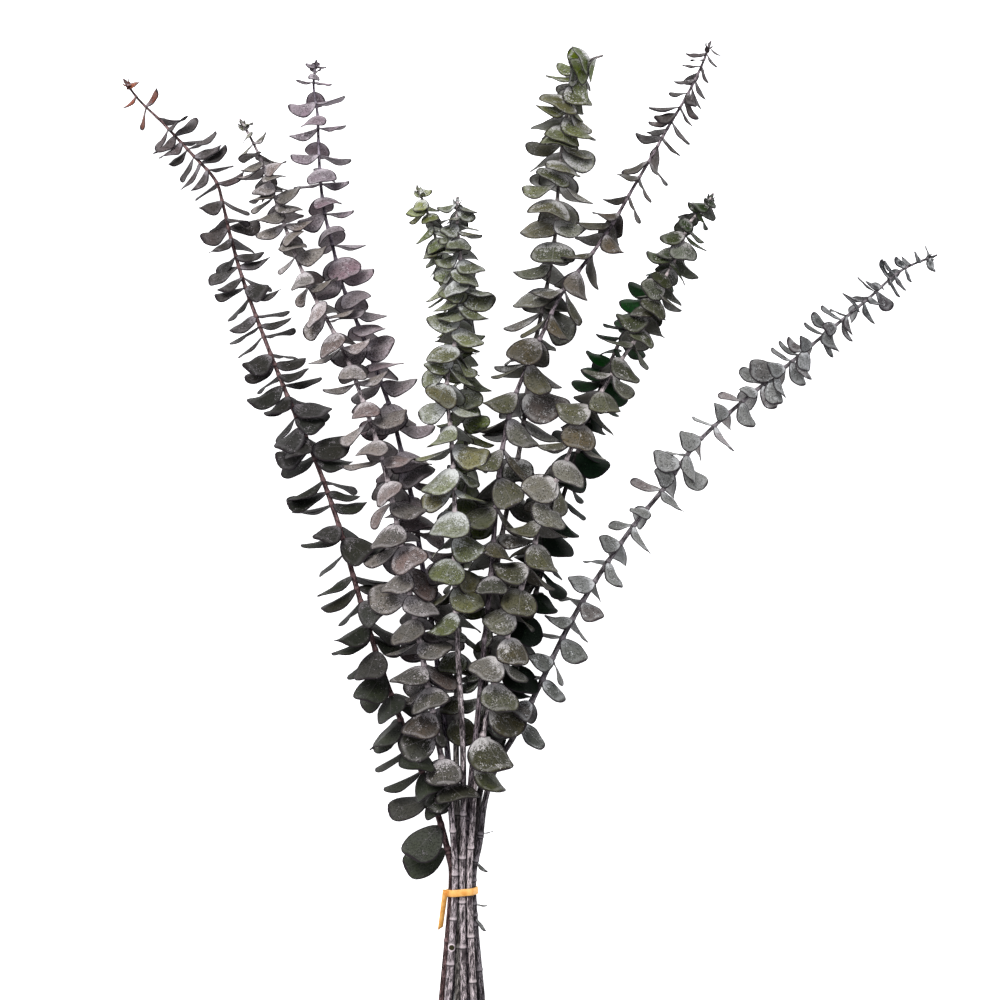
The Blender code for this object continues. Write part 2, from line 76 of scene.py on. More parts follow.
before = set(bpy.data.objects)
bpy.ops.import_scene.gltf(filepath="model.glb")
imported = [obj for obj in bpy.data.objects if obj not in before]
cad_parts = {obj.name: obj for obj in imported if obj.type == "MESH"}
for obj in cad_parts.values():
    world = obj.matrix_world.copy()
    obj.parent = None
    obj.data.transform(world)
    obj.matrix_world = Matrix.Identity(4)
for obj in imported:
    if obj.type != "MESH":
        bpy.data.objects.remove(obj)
CAD_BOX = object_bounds()
MM = 0.001

# The layout rule of the frame, whose values these repeat.
ROUTE_STEP = 2 * MM
LONGEST_RUN = 50 * MM
MOST_TURN = 7
RING_STEP = 34 * MM
RINGS_ABOVE_BAND = 62 * MM
RING_STAGGER = 13 * MM
ROOT_SUNK = 0.7 * MM
BLADE_THICKNESS = 0.8 * MM
SMALL_LEAF = 22 * MM
FIRST_PAIR = 5 * MM
YOUNG_PAIRS = 4
ROUND_OUTLINE = ((0.28, 0.45), (0.78, 0.44))
SMALL_OUTLINE = ((0.38, 0.50), (0.95, 0.28))
AZIMUTH_JITTER = 22
DROOP_JITTER = 10
ROLL_JITTER = 20
SIZE_JITTER = 0.1
GAP_JITTER = 0.1
CUP = (0.08, 0.2)
CURL = (0.0, 0.14)
FACING_POWER = 1.5
CUP_POWER = 1.5
TAPER_POWER = 0.8
YOUNG_GAP_POWER = 0.3
TURN_TRIES = (0, 12, -12, 24, -24, 38, -38, 55, -55)
DROOP_TRIES = (0, 10, -10, 20, -20, 32)
SIZE_TRIES = (1.0, 0.88, 0.76, 0.64)
GROUND_STEPS = 26
SAME_PLACE = 0.05 * MM

# Where each stem's random draws start: the frame's leaves, the finer ones, and the blades' shapes.
FRAME_SEED = 1
FILLER_SEED = 200
BLADE_SEED = 100

# Finer leaves between the frame's pairs.
FILLER_SIZE = (0.85, 1.08)
FILLER_START = 0.3
FILLER_YOUNG = 0.8
# Youngest leaves at a tip: distance from it, angle towards it, length. They are in scale with the
# tip's full leaves, and have these lengths where those are SHOOTS_BESIDE long.
SHOOTS = ((5.4, 80, 4.4), (7.2, 54, 5.8), (9.6, 32, 7.6))
SHOOTS_BESIDE = 20
SHOOT_SHAPE = 0.6
# Stems whose tip is hidden by full leaves.
WITHOUT_SHOOTS = ("hooked_back",)
# Leaves that show their faces round the hooked tip: distance from it, azimuth, droop, roll, length,
# width over length. Then how far they are cupped and curled.
CROWN = (
    (25, 165, 35, -55, 22, 1.0),
    (25, 15, 52, 50, 24, 0.62),
    (13, 165, 14, -60, 17, 1.05),
    (7, 12, 30, 55, 16, 0.9),
)
CROWN_BEND = (0.12, 0.08)

# How much the blades differ from each other.
WIDEST_JITTER = 0.04
FULLNESS_JITTER = 0.1
SWAY = 0.06
WAVES_ALONG = (5, 9)
# Small leaves are more pointed. Below these sizes the waves are lower and the rim is thinner.
SMALL_POINT = 1.12
FULL_LENGTH = 25 * MM
FULL_WIDTH = 24 * MM
NARROWEST_TIP = 0.012
# A column of points close beside the midrib, as a share of half the width, makes its fold sharp.
BESIDE_MIDRIB = 0.07

# Rows of faces round each joint of the bare wood, in millimetres from its middle.
RING_STATIONS = (-1.4, -0.7, 0, 0.5, 0.9, 1.3, 1.7, 2.2)
# The dark groove below each joint. Wood thinner than STOUT_WOOD has lower joints.
GROOVE_BELOW = 1.3 * MM
GROOVE_LENGTH = 0.6 * MM
GROOVE_DEPTH = 0.08 * MM
STOUT_WOOD = 1.6 * MM

# The round scar of a cut side branch, on top of the left front stem.
SCAR_Y = -40.5 * MM
SCAR_RADIUS = 2.8 * MM
SCAR_HEIGHT = 0.35 * MM
SCAR_SLOPE = 1.6
FAR_AWAY = 9.0  # stands for anywhere else on the wood, in radii of the scar

BAND_WIDTH = 5.3 * MM
BAND_THICKNESS = 0.8 * MM
BAND_GAP = 0.6 * MM
BAND_TILT = 5
BAND_CORNER_POINTS = 4
BAND_EDGE = 0.25 * MM  # rounded off
TAIL_WIDTH = 4.6 * MM
TAIL_START = Vector((-12.6, 1.5, 9.6)) * MM
TAIL_END = Vector((-16.6, -28.0, 9.0)) * MM
TAIL_TWIST = -38
TAIL_STEPS = 16
TAIL_BEND = 0.5 * MM
TAIL_SLANT = 2.6 * MM

VIEW_MIDDLE = Vector((28.5, 296, 27)) * MM
SENSOR = 36
# Each light's place from the middle of the view, and its side.
KEY_LIGHT = (Vector((-0.9, 1.4, 1.9)), 1.3)
FILL_LIGHT = (Vector((1.4, -0.5, 1.5)), 1.8)
SKY_COLOUR = (0.95, 0.97, 1.08)
PAPER_COLOURS = ((0.90, 0.90, 0.90), (0.92, 0.92, 0.92))


class Stem(NamedTuple):
    """One leafy stem as the frame lays it out. Lengths are in millimetres and angles in degrees.

    Three numbers in a row hold for the tip, the middle and the lower end of the leafy part.
    """

    name: str
    route: tuple  # from the cut end to the tip
    radii: tuple  # cut end, band, tip
    gaps: tuple  # between pairs of leaves
    lengths: tuple  # of a leaf
    shape: tuple  # width over length
    droop: tuple  # of the leaves at the sides, towards the cut end
    face_droop: float  # of the leaves that point straight up or down
    lean: float  # how far the pairs are tipped towards the viewer above
    upright: float  # share by which the lowest pairs turn from the stem's direction to +Y
    phase: float  # direction of the first pair
    young: float  # size of the first pair over a full one
    bare: float  # Y below which there are no leaves


MIDDLE_FRONT = Stem(
    "middle_front",
    ((1.5, -106, 14), (0, 0, 13.5), (0.8, 56, 21), (0.8, 109, 31), (-0.8, 146, 38), (-3, 184, 44),
     (-4.5, 221, 48), (-5.2, 254, 51), (-5.2, 296, 53), (-7.5, 341, 54), (-11, 380, 54), (-6, 407, 54),
     (-1.5, 433, 54), (0, 461, 53), (-3, 497, 52), (-3, 521, 50)),
    (2.6, 2.45, 0.8), (11, 16, 20), (22, 26, 28), (0.95, 1.05, 1.05), (20, 24, 20), 44, 20, 0, 30, 0.7, 196,
)
LEFT_FRONT = Stem(
    "left_front",
    ((-12, -101, 13.8), (-5.7, 0, 13.5), (-6.6, 41, 20), (-10.2, 79, 26), (-17.2, 112, 31), (-25.5, 158, 38),
     (-32.2, 195, 42), (-39.8, 232, 45), (-45.8, 266, 46), (-52.5, 300, 46), (-61.5, 334, 46),
     (-72.8, 368, 45), (-84.8, 400, 44), (-97.5, 425, 43), (-110, 448, 42), (-123, 476, 40),
     (-134, 506, 38), (-143, 531, 37), (-150, 550, 36), (-157.5, 566, 35), (-166, 581, 34)),
    (3.2, 2.45, 0.6), (10, 16, 19), (20, 27, 30), (0.85, 0.98, 1.05), (2, 6, 14), 34, 24, 0.5, 20, 0.5, 78,
)
RIGHT_FRONT = Stem(
    "right_front",
    ((9.6, -104, 14.2), (5.5, 0, 13.5), (7.5, 49, 20), (9.8, 86, 27), (15, 116, 33), (22.5, 154, 40),
     (33, 191, 46), (40.5, 219, 49), (51, 251, 52), (62, 292, 54), (76, 322, 55), (91, 356, 55),
     (103.5, 376, 55), (118.5, 400, 55), (133.5, 422, 54), (143, 444, 53), (152, 463, 52),
     (161, 480, 51), (169.5, 502, 50), (180, 512, 49), (187, 524, 48)),
    (2.7, 2.45, 0.6), (10, 16, 21), (20, 26, 30), (0.95, 1.08, 1.1), (30, 28, 24), 44, 20, 0.4, 70, 0.5, 96,
)
RIGHT_ARCHED = Stem(
    "right_arched",
    ((6.6, -104, 8.2), (2.8, 0, 8.7), (3.8, 41, 14), (6.8, 86, 21), (12, 135, 30), (16.5, 184, 37),
     (21, 232, 43), (24, 270, 46), (27, 308, 48), (31.5, 341, 49), (39, 371, 49), (51, 400, 49),
     (62, 424, 49), (73.5, 448, 48), (86, 465, 47), (97.5, 480, 46), (112.5, 502, 45), (128, 529, 44),
     (141, 551, 42), (154.5, 575, 41), (167, 596, 40), (178.5, 619, 38), (186, 639, 36)),
    (2.6, 2.45, 0.5), (11, 21, 26), (18, 29, 31), (0.5, 0.8, 0.95), (26, 34, 34), 44, 20, 0.3, 45, 0.75, 190,
)
FAR_RIGHT = Stem(
    "far_right",
    ((16.5, -100, 8.4), (8.2, 0, 8.7), (13.2, 38, 11.6), (17.6, 71, 14.4), (27, 98, 16), (40, 120, 18),
     (57, 154, 20), (79, 199, 21), (102, 238, 21), (130, 278, 21), (152, 305, 20), (176, 338, 20),
     (208.5, 368, 19), (242, 395, 18), (274.5, 422, 17), (304, 446, 16), (331, 469, 15), (358.5, 481, 13)),
    (2.6, 2.45, 0.5), (9, 16, 18), (15, 23, 24), (0.66, 0.76, 0.78), (10, 14, 14), 36, 30, 0, 30, 0.8, 128,
)
FAR_LEFT = Stem(
    "far_left",
    ((-17.4, -103, 8.2), (-8.3, 0, 8.7), (-10.8, 30, 11), (-22.5, 71, 15), (-43, 122, 18), (-61.5, 172, 21),
     (-79, 229, 22), (-93, 278, 22), (-111, 328, 22), (-130, 371, 22), (-148, 416, 21), (-164, 459, 20),
     (-174, 493, 19), (-180, 518, 18), (-186, 537, 18), (-204, 557, 16), (-226.5, 581, 15),
     (-244, 598, 13), (-256, 614, 12)),
    (2.6, 2.45, 0.5), (12, 18, 21), (20, 28, 36), (0.66, 0.7, 0.8), (6, 10, 12), 34, 26, 0.8, 45, 0.7, 22,
)
LEFT_BACK = Stem(
    "left_back",
    ((-9.8, -100, 3.2), (-5.5, 0, 3.9), (-7.5, 56, 9), (-12, 116, 16), (-19, 176, 21), (-25.5, 221, 23),
     (-31, 254, 24), (-37.5, 296, 24), (-46, 334, 24), (-53, 362, 24), (-61.5, 386, 24), (-70.5, 409, 24),
     (-82, 437, 23), (-91, 461, 23), (-97.5, 488, 22), (-103, 510, 21), (-106.5, 535, 20),
     (-108, 562, 19), (-109, 587, 18), (-112, 608, 16), (-110, 628, 15)),
    (2.6, 2.45, 0.5), (8, 17, 58), (20, 28, 28), (0.85, 1.1, 1.1), (4, 10, 18), 36, 22, 0.4, 0, 0.4, 100,
)
HOOKED_BACK = Stem(
    "hooked_back",
    ((3, -98, 3.2), (0, 0, 3.9), (4, 56, 9), (10.5, 101, 14), (16.5, 146, 18), (22, 206, 22),
     (27, 251, 23), (33, 285, 24), (41, 322, 24), (46.5, 356, 24), (51, 394, 25), (58.5, 431, 26),
     (64, 458, 27), (67.5, 480, 28), (70.5, 500, 28), (72, 529, 28), (75, 562, 28), (79, 589, 27),
     (85, 611, 26), (94.5, 625, 25), (106, 630, 24)),
    (2.6, 2.45, 0.6), (11, 22, 62), (26, 30, 28), (1.05, 1.25, 1.1), (24, 28, 26), 36, 18, 0.2, 0, 0.8, 100,
)
MIDDLE_BACK = Stem(
    "middle_back",
    ((-3.8, -102, 8.6), (-2.8, 0, 8.7), (-3.8, 56, 14), (-4.5, 116, 20), (-3, 184, 24), (0, 251, 26),
     (2, 311, 26), (3, 371, 26), (-1.5, 416, 26), (-10, 454, 27), (-16.5, 480, 28), (-24, 506, 28),
     (-34, 532, 28)),
    (2.6, 2.45, 0.5), (7, 26, 68), (19, 23, 24), (0.9, 1.0, 1.05), (26, 30, 28), 42, 20, 0, 20, 0.6, 110,
)
RIGHT_BACK = Stem(
    "right_back",
    ((12, -100, 3.2), (5.5, 0, 3.9), (9.5, 45, 6.8), (13.4, 75, 9), (21, 112, 13), (32, 146, 17),
     (43.5, 184, 21), (54, 221, 23), (65, 262, 24), (75, 296, 24), (90, 341, 25), (102, 375, 26),
     (117, 412, 27), (133.5, 439, 27), (154.5, 472, 28), (166.5, 497, 28)),
    (2.6, 2.45, 0.6), (13, 24, 56), (20, 25, 27), (0.95, 1.05, 1.05), (24, 28, 24), 42, 18, 0, 10, 0.6, 110,
)
STEMS = (
    MIDDLE_FRONT, LEFT_FRONT, RIGHT_FRONT, RIGHT_ARCHED, FAR_RIGHT,
    FAR_LEFT, LEFT_BACK, HOOKED_BACK, MIDDLE_BACK, RIGHT_BACK,
)

# Leftover small leaves low on the outer right stem: Y, direction, droop, length, width over length.
LEFTOVERS = (
    (46, 20, -15, 9, 0.22),
    (24, 10, 35, 11, 0.7),
    (-8, 10, 15, 9, 0.7),
    (-17, 15, 62, 13, 0.75),
)
LEFTOVER_BEND = (0.1, 0.1)


class Finish(NamedTuple):
    """How one stem looks. Colours are display values from 0 to 255."""

    slot: str
    shoot: tuple  # colour of the youngest leaves
    tip: tuple  # leaf colour under the bloom
    middle: tuple
    low: tuple
    bloom: tuple  # colour of the waxy bloom
    amount: tuple  # of bloom at the tip and at the lower end
    wood: tuple
    pale_wood: tuple
    fill: tuple  # distance between pairs with the finer leaves: tip, middle and lower end
    widest: float  # share of a leaf's length where it is widest
    fullness: float  # lower is rounder
    slim: float = 1.0  # width of the finer leaves over that of the frame's
    ladder: bool = False  # the finer leaves all stand out to the two sides


FINISHES = {
    "middle_front": Finish(
        "foliage_olive", (106, 110, 90), (104, 107, 88), (128, 131, 106), (88, 91, 70), (196, 197, 195),
        (0.62, 0.5), (88, 78, 80), (226, 211, 212), (5, 12, 15), 0.50, 0.85,
    ),
    "left_front": Finish(
        "foliage_taupe", (102, 110, 82), (122, 117, 110), (142, 135, 131), (52, 55, 44), (202, 195, 196),
        (0.52, 0.34), (94, 82, 86), (226, 211, 213), (6, 13, 15), 0.54, 0.95,
    ),
    "right_front": Finish(
        "foliage_olive", (40, 54, 34), (54, 64, 42), (96, 94, 80), (66, 68, 52), (190, 186, 184),
        (0.3, 0.42), (90, 78, 82), (230, 215, 215), (5, 13, 15), 0.50, 0.85,
    ),
    "right_arched": Finish(
        "foliage_sage", (66, 59, 59), (72, 66, 67), (92, 90, 76), (74, 77, 62), (174, 169, 170),
        (0.3, 0.36), (74, 62, 68), (160, 146, 152), (5.5, 16, 24), 0.60, 1.0, 1.15, True,
    ),
    "far_right": Finish(
        "foliage_pale", (46, 51, 47), (66, 68, 70), (146, 146, 143), (80, 82, 77), (204, 205, 205),
        (0.38, 0.36), (62, 56, 59), (144, 136, 140), (5.5, 11, 20), 0.58, 0.92, 1.2, True,
    ),
    "far_left": Finish(
        "foliage_dark_green", (150, 76, 42), (84, 79, 78), (38, 39, 35), (56, 60, 49), (134, 128, 132),
        (0.38, 0.03), (70, 50, 50), (136, 108, 108), (8.5, 11.5, 17), 0.64, 0.85, 1.1, True,
    ),
    "left_back": Finish(
        "foliage_taupe", (120, 111, 117), (128, 119, 125), (142, 135, 136), (62, 63, 56), (186, 177, 183),
        (0.52, 0.34), (78, 66, 80), (154, 143, 155), (12, 14, 18), 0.50, 0.88,
    ),
    "hooked_back": Finish(
        "foliage_sage", (80, 94, 38), (104, 108, 78), (98, 97, 93), (66, 70, 54), (198, 196, 195),
        (0.52, 0.44), (82, 72, 73), (174, 165, 163), (4.2, 22, 25), 0.50, 0.85, 1.15,
    ),
    "middle_back": Finish(
        "foliage_olive", (142, 146, 106), (110, 118, 82), (106, 114, 80), (58, 60, 48), (194, 195, 190),
        (0.5, 0.32), (82, 76, 72), (168, 162, 156), (4, 13.5, 20), 0.50, 0.85,
    ),
    "right_back": Finish(
        "foliage_dark_green", (20, 42, 20), (24, 58, 26), (18, 30, 20), (20, 24, 19), (68, 84, 66),
        (0.06, 0.03), (48, 42, 43), (100, 92, 92), (4.5, 14, 20), 0.50, 0.85,
    ),
}
BAND_COLOUR = (250, 190, 104)
RIM_COLOUR = (34, 27, 32)
SCAR_COLOUR = (52, 50, 30)
# These two are linear.
WARM_TINT = (1.04, 0.92, 0.95)
CUT_COLOUR = (0.40, 0.32, 0.22)
# Specular level of leaves and wood.
MATTE = 0.1
# Shares of the leafy length at which the tip's and the middle's colours hold.
TIP_SHARE = 0.06
MIDDLE_SHARE = 0.45
# How strongly each marking covers the colour below it.
LEAF_COVER = {
    "shade": 0.42, "frost": 0.28, "bloom": 0.32, "pits": 0.6, "flecks": 0.7,
    "powder": 0.75, "veins": 0.16, "back": 0.45, "lip": 0.5, "rim": 0.88,
}
# How strongly each mark covers the wood's colour; its sides entry is painted shade along the stem's edges.
WOOD_COVER = {"grain": 0.9, "specks": 0.85, "joint": 0.7, "groove": 0.92, "sides": 0.85}


def linear(colour):
    """A display colour as the linear one that shaders use."""
    shares = [value / 255 for value in colour]
    return tuple(c / 12.92 if c <= 0.04045 else ((c + 0.055) / 1.055) ** 2.4 for c in shares)


def smooth_route(points, step):
    """Points about one step apart on a smooth curve through the route's own points."""
    ends = [points[0] * 2 - points[1]] + points + [points[-1] * 2 - points[-2]]
    found = []
    for before, start, end, after in zip(ends, ends[1:], ends[2:], ends[3:]):
        pieces = max(1, round((end - start).length / step))
        for piece in range(pieces):
            t = piece / pieces
            found.append(
                (
                    2 * start
                    + (end - before) * t
                    + (2 * before - 5 * start + 4 * end - after) * t * t
                    + (3 * start - before - 3 * end + after) * t ** 3
                )
                / 2
            )
    return found + [points[-1]]


def blend(three, share):
    """The value at this share of the way along three values in a row."""
    if share < 0.5:
        return three[0] + (three[1] - three[0]) * share * 2
    return three[1] + (three[2] - three[1]) * (share * 2 - 1)


class Line:
    """The centre line of a stem, walked from its tip."""

    def __init__(self, stem):
        route = [Vector(point) * MM for point in stem.route]
        self.points = smooth_route(route, ROUTE_STEP)[::-1]
        self.walked = [0.0]
        for start, end in zip(self.points, self.points[1:]):
            self.walked.append(self.walked[-1] + (end - start).length)
        self.length = self.walked[-1]
        self.cut, self.band, self.tip = (radius * MM for radius in stem.radii)
        self.to_band = next(w for w, p in zip(self.walked, self.points) if p.y <= 0)
        self.stagger = STEMS.index(stem) * RING_STAGGER % RING_STEP
        self.first_ring = self.from_tip(RINGS_ABOVE_BAND - self.stagger)
        self.leafy = self.from_tip(stem.bare * MM)
        self.stations = self.placed_stations()

    def placed_stations(self):
        """Distances from the tip at which the frame's straight runs of this stem meet."""
        found = [0.0]
        for place in self.walked[1:]:
            turned = self.at(place)[1].angle(self.at(found[-1])[1])
            far = place - found[-1] > LONGEST_RUN or turned > math.radians(MOST_TURN)
            if far and place < self.first_ring - LONGEST_RUN / 4:
                found.append(place)
        for ring in range(int((self.length - self.first_ring) / RING_STEP)):
            place = self.first_ring + ring * RING_STEP
            found += [place, place + RING_STEP / 2]
        return found + [self.length]

    def axis(self, distance):
        """The point this far from the tip on the frame's straight runs, where its leaves are rooted."""
        for start, end in zip(self.stations, self.stations[1:]):
            if distance <= end:
                share = (distance - start) / (end - start)
                return self.at(start)[0].lerp(self.at(end)[0], share)
        return self.points[-1]

    def at(self, distance):
        """The point this far from the tip, and the direction there towards the tip."""
        distance = min(max(distance, 0.0), self.length)
        last = len(self.points) - 2
        i = min(last, max(0, next(k for k, w in enumerate(self.walked) if w >= distance) - 1))
        run = self.walked[i + 1] - self.walked[i]
        share = (distance - self.walked[i]) / run
        towards = (self.points[max(i - 2, 0)] - self.points[min(i + 3, last + 1)]).normalized()
        return self.points[i].lerp(self.points[i + 1], share), towards

    def radius(self, distance):
        """The stem's radius this far from the tip."""
        if distance < self.to_band:
            return self.tip + (self.band - self.tip) * (distance / self.to_band) ** TAPER_POWER
        share = (distance - self.to_band) / (self.length - self.to_band)
        return self.band + (self.cut - self.band) * share

    def from_tip(self, y):
        """How far from the tip the stem passes this Y."""
        return next(w for w, p in zip(self.walked, self.points) if p.y <= y)


class Leaf(NamedTuple):
    """A leaf on its stem: where it grows, how it is turned, and its size."""

    axis: Vector
    stem_radius: float
    along_stem: Vector
    azimuth: float
    droop: float
    roll: float
    length: float
    width: float
    cup: float
    curl: float
    small: bool
    from_tip: float

    def turned(self):
        """The leaf's own axes: across, along, and out of its upper face."""
        side = self.along_stem.cross(Vector((0, 0, 1))).normalized()
        front = side.cross(self.along_stem)
        outward = side * math.cos(self.azimuth) + front * math.sin(self.azimuth)
        along = outward * math.cos(self.droop) - self.along_stem * math.sin(self.droop)
        across = self.along_stem.cross(outward)
        turn = Matrix.Rotation(self.roll, 3, along)
        across = turn @ across
        return across, along, across.cross(along)

    def corners(self):
        """The points of the frame's flat blade that lie away from the stem."""
        across, along, up = self.turned()
        root = self.axis + along * max(self.stem_radius - ROOT_SUNK, 0)
        edge = SMALL_OUTLINE if self.small else ROUND_OUTLINE + ((1, 0),)
        found = []
        for u, v in edge:
            lift = self.cup * self.width * v ** CUP_POWER * 2 - self.curl * self.length * u * u
            middle = root + along * (u * self.length) + up * lift
            found += [middle + across * (v * self.width), middle - across * (v * self.width)]
        return found, root, up * BLADE_THICKNESS / 2

    def lowest(self):
        """How high the leaf's lowest corner lies."""
        found, root, half = self.corners()
        return min(point.z for point in found + [root]) - abs(half.z)


def lean(direction, angle):
    """A direction along the stem tipped up towards the viewer."""
    side = direction.cross(Vector((0, 0, 1))).normalized()
    return Matrix.Rotation(angle, 3, side) @ direction


def on_ground(leaf):
    """The leaf turned about its stem until it only touches the surface, or None."""
    if leaf.lowest() >= 0:
        return leaf
    flat = 0.0 if math.cos(leaf.azimuth) > 0 else math.pi
    if leaf.azimuth < 0 and flat:
        flat = -math.pi
    if leaf._replace(azimuth=flat).lowest() < 0:
        return None
    low, high = leaf.azimuth, flat
    for _ in range(GROUND_STEPS):
        middle = (low + high) / 2
        if leaf._replace(azimuth=middle).lowest() < 0:
            low = middle
        else:
            high = middle
    return leaf._replace(azimuth=high)


def grown(stem, line, place, azimuth, young, draw):
    """One leaf of a pair, this far from the tip, as drawn."""
    share = place / line.leafy
    heading = line.at(place)[1].lerp(Vector((0, 1, 0)), stem.upright * share).normalized()
    front = math.sin(math.radians(azimuth))
    side_droop = blend(stem.droop, share)
    droop = side_droop + (stem.face_droop - side_droop) * abs(front) ** FACING_POWER
    droop += draw.uniform(-DROOP_JITTER, DROOP_JITTER) - stem.lean * front
    length = blend(stem.lengths, share) * young * draw.uniform(1 - SIZE_JITTER, 1 + SIZE_JITTER)
    width = length * blend(stem.shape, share)
    return Leaf(
        line.axis(place),
        line.radius(place),
        lean(heading, math.radians(stem.lean)),
        math.radians((azimuth + 180) % 360 - 180),
        math.radians(droop),
        math.radians(draw.uniform(-ROLL_JITTER, ROLL_JITTER)),
        length * MM,
        width * MM,
        draw.uniform(*CUP),
        draw.uniform(*CURL),
        length * MM < SMALL_LEAF,
        place,
    )


def young_size(stem, number):
    """How large the leaves of this pair are over full ones."""
    return min(1.0, stem.young + (1 - stem.young) * number / YOUNG_PAIRS)


def pairs_of(stem, line, draw):
    """The leaves of a stem as drawn, from the tip down, before they make room for others."""
    place = FIRST_PAIR
    number = 0
    while place < line.leafy:
        young = young_size(stem, number)
        first = stem.phase + 90 * number + draw.uniform(-AZIMUTH_JITTER, AZIMUTH_JITTER)
        for azimuth in (first, first + 180):
            yield grown(stem, line, place, azimuth, young, draw)
        jitter = draw.uniform(1 - GAP_JITTER, 1 + GAP_JITTER)
        place += blend(stem.gaps, place / line.leafy) * young ** YOUNG_GAP_POWER * jitter * MM
        number += 1


def leftovers(line):
    """The few small leaves left low on the outer right stem."""
    for y, azimuth, droop, length, shape in LEFTOVERS:
        place = line.from_tip(y * MM)
        yield Leaf(
            line.axis(place), line.radius(place), line.at(place)[1],
            math.radians(azimuth), math.radians(droop), 0.0,
            length * MM, length * shape * MM, *LEFTOVER_BEND, True, place,
        )


def corner_tree(node):
    """The places of a frame node's corners, in the layout's own frame."""
    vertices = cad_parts[node].data.vertices
    tree = KDTree(len(vertices))
    for vertex in vertices:
        tree.insert(vertex.co - SHIFT, vertex.index)
    tree.balance()
    return tree


def tries(leaf):
    """The leaf turned, drooped or made smaller, in the order in which it is tried in a place."""
    for size in SIZE_TRIES:
        for off_droop in DROOP_TRIES:
            for turn in TURN_TRIES:
                tried = on_ground(
                    leaf._replace(
                        azimuth=leaf.azimuth + math.radians(turn),
                        droop=leaf.droop + math.radians(off_droop),
                        length=leaf.length * size,
                        width=leaf.width * size,
                    )
                )
                if tried:
                    yield tried


def in_frame(leaf, tree):
    """The leaf as the frame has it, or None where it has none."""
    for tried in tries(leaf):
        found, _, half = tried.corners()
        if all(tree.find(point + half)[2] < SAME_PLACE for point in found):
            return tried
    return None


def outer_sheet(leaf):
    """The leaf away from its stem as a flat sheet, to find what it crosses."""
    found, root, _ = leaf.corners()
    start = root.lerp((found[0] + found[1]) / 2, FILLER_START)
    points = [start] + found[:4] + found[4:5]
    faces = [(0, 1, 2), (1, 3, 2), (2, 3, 4)] + ([(3, 5, 4)] if len(found) > 4 else [])
    return BVHTree.FromPolygons(points, faces)


def with_room(leaf, trees):
    """The leaf where it crosses nothing, or None where it finds no room."""
    for tried in tries(leaf):
        sheet = outer_sheet(tried)
        if not any(sheet.overlap(tree) for tree in trees):
            trees.append(sheet)
            return tried
    return None


def crown(line, trees):
    """The round leaves that show their faces at the hooked tip."""
    for place, azimuth, droop, roll, length, shape in CROWN:
        yield with_room(
            Leaf(
                line.axis(place * MM), line.radius(place * MM), line.at(place * MM)[1],
                math.radians(azimuth), math.radians(droop), math.radians(roll),
                length * MM, length * shape * MM, *CROWN_BEND, False, place * MM,
            ),
            trees,
        )


def fillers(stem, line, leaves, trees, draw):
    """Leaves for the stretches where the frame's pairs stand further apart than the real ones."""
    finish = FINISHES[stem.name]
    places = sorted({leaf.from_tip for leaf in leaves if leaf.from_tip < line.leafy})
    found = []
    for number, (above, below) in enumerate(zip(places, places[1:])):
        wanted = blend(finish.fill, above / line.leafy) * MM
        extra = round((below - above) / wanted) - 1
        for k in range(extra):
            place = above + (below - above) * (k + 1) / (extra + 1)
            first = 0 if finish.ladder else stem.phase + 45 + 90 * (number + k)
            first += draw.uniform(-AZIMUTH_JITTER, AZIMUTH_JITTER)
            for azimuth in (first, first + 180):
                size = max(young_size(stem, number), FILLER_YOUNG) * draw.uniform(*FILLER_SIZE)
                leaf = grown(stem, line, place, azimuth, size, draw)
                found.append(with_room(leaf._replace(width=leaf.width * finish.slim), trees))
    return found


def shoots(stem, line, draw):
    """The youngest leaves, folded round the tip of a stem."""
    for number, (place, angle, length) in enumerate(() if stem.name in WITHOUT_SHOOTS else SHOOTS):
        length *= stem.lengths[0] / SHOOTS_BESIDE
        for side in (0, 180):
            azimuth = stem.phase + 45 + 90 * number + side
            drawn = grown(stem, line, place * MM, azimuth, 1.0, draw)
            yield on_ground(
                drawn._replace(
                    droop=math.radians(-angle),
                    length=length * MM,
                    width=length * SHOOT_SHAPE * MM,
                    small=True,
                )
            )


def band_outline(corners, radius, corner_points):
    """A loop at one distance round the outer stems, with each corner as an arc."""
    count = len(corners)
    found = []
    for i, corner in enumerate(corners):
        arriving = corner - corners[i - 1]
        leaving = corners[(i + 1) % count] - corner
        start = math.atan2(-arriving.x, arriving.y)
        turn = (math.atan2(-leaving.x, leaving.y) - start) % math.tau
        for step in range(corner_points):
            angle = start + turn * step / (corner_points - 1)
            found.append(corner + Vector((math.cos(angle), math.sin(angle))) * radius)
    return found


def band_corners():
    """The outer stems at the band, seen along them: X and Z."""
    low = [LEFT_BACK.route[1], RIGHT_BACK.route[1], FAR_RIGHT.route[1]]
    high = [RIGHT_FRONT.route[1], LEFT_FRONT.route[1], FAR_LEFT.route[1]]
    return [Vector((corner[0], corner[2])) * MM for corner in low + high]


def layout_shift():
    """How far the frame lies from the layout, found where the band's ring reaches furthest."""
    outer = LEFT_BACK.radii[1] * MM + BAND_GAP + BAND_THICKNESS
    loop = band_outline(band_corners(), outer, BAND_CORNER_POINTS)
    right = max(point.x for point in loop)
    top = max(point.y for point in loop)
    tilt = math.radians(BAND_TILT)
    reach_x = right * math.cos(tilt) + BAND_WIDTH / 2 * math.sin(tilt)
    reach_y = right * math.sin(tilt) + BAND_WIDTH / 2 * math.cos(tilt)
    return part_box("tie_band")[1] - Vector((reach_x, reach_y, top))


SHIFT = layout_shift()
# The frame's box in the layout's own frame, which no leaf or stem leaves.
ROOM_LOW, ROOM_HIGH = (np.array(corner) - np.array(SHIFT) for corner in CAD_BOX)
LINES = {stem.name: Line(stem) for stem in STEMS}


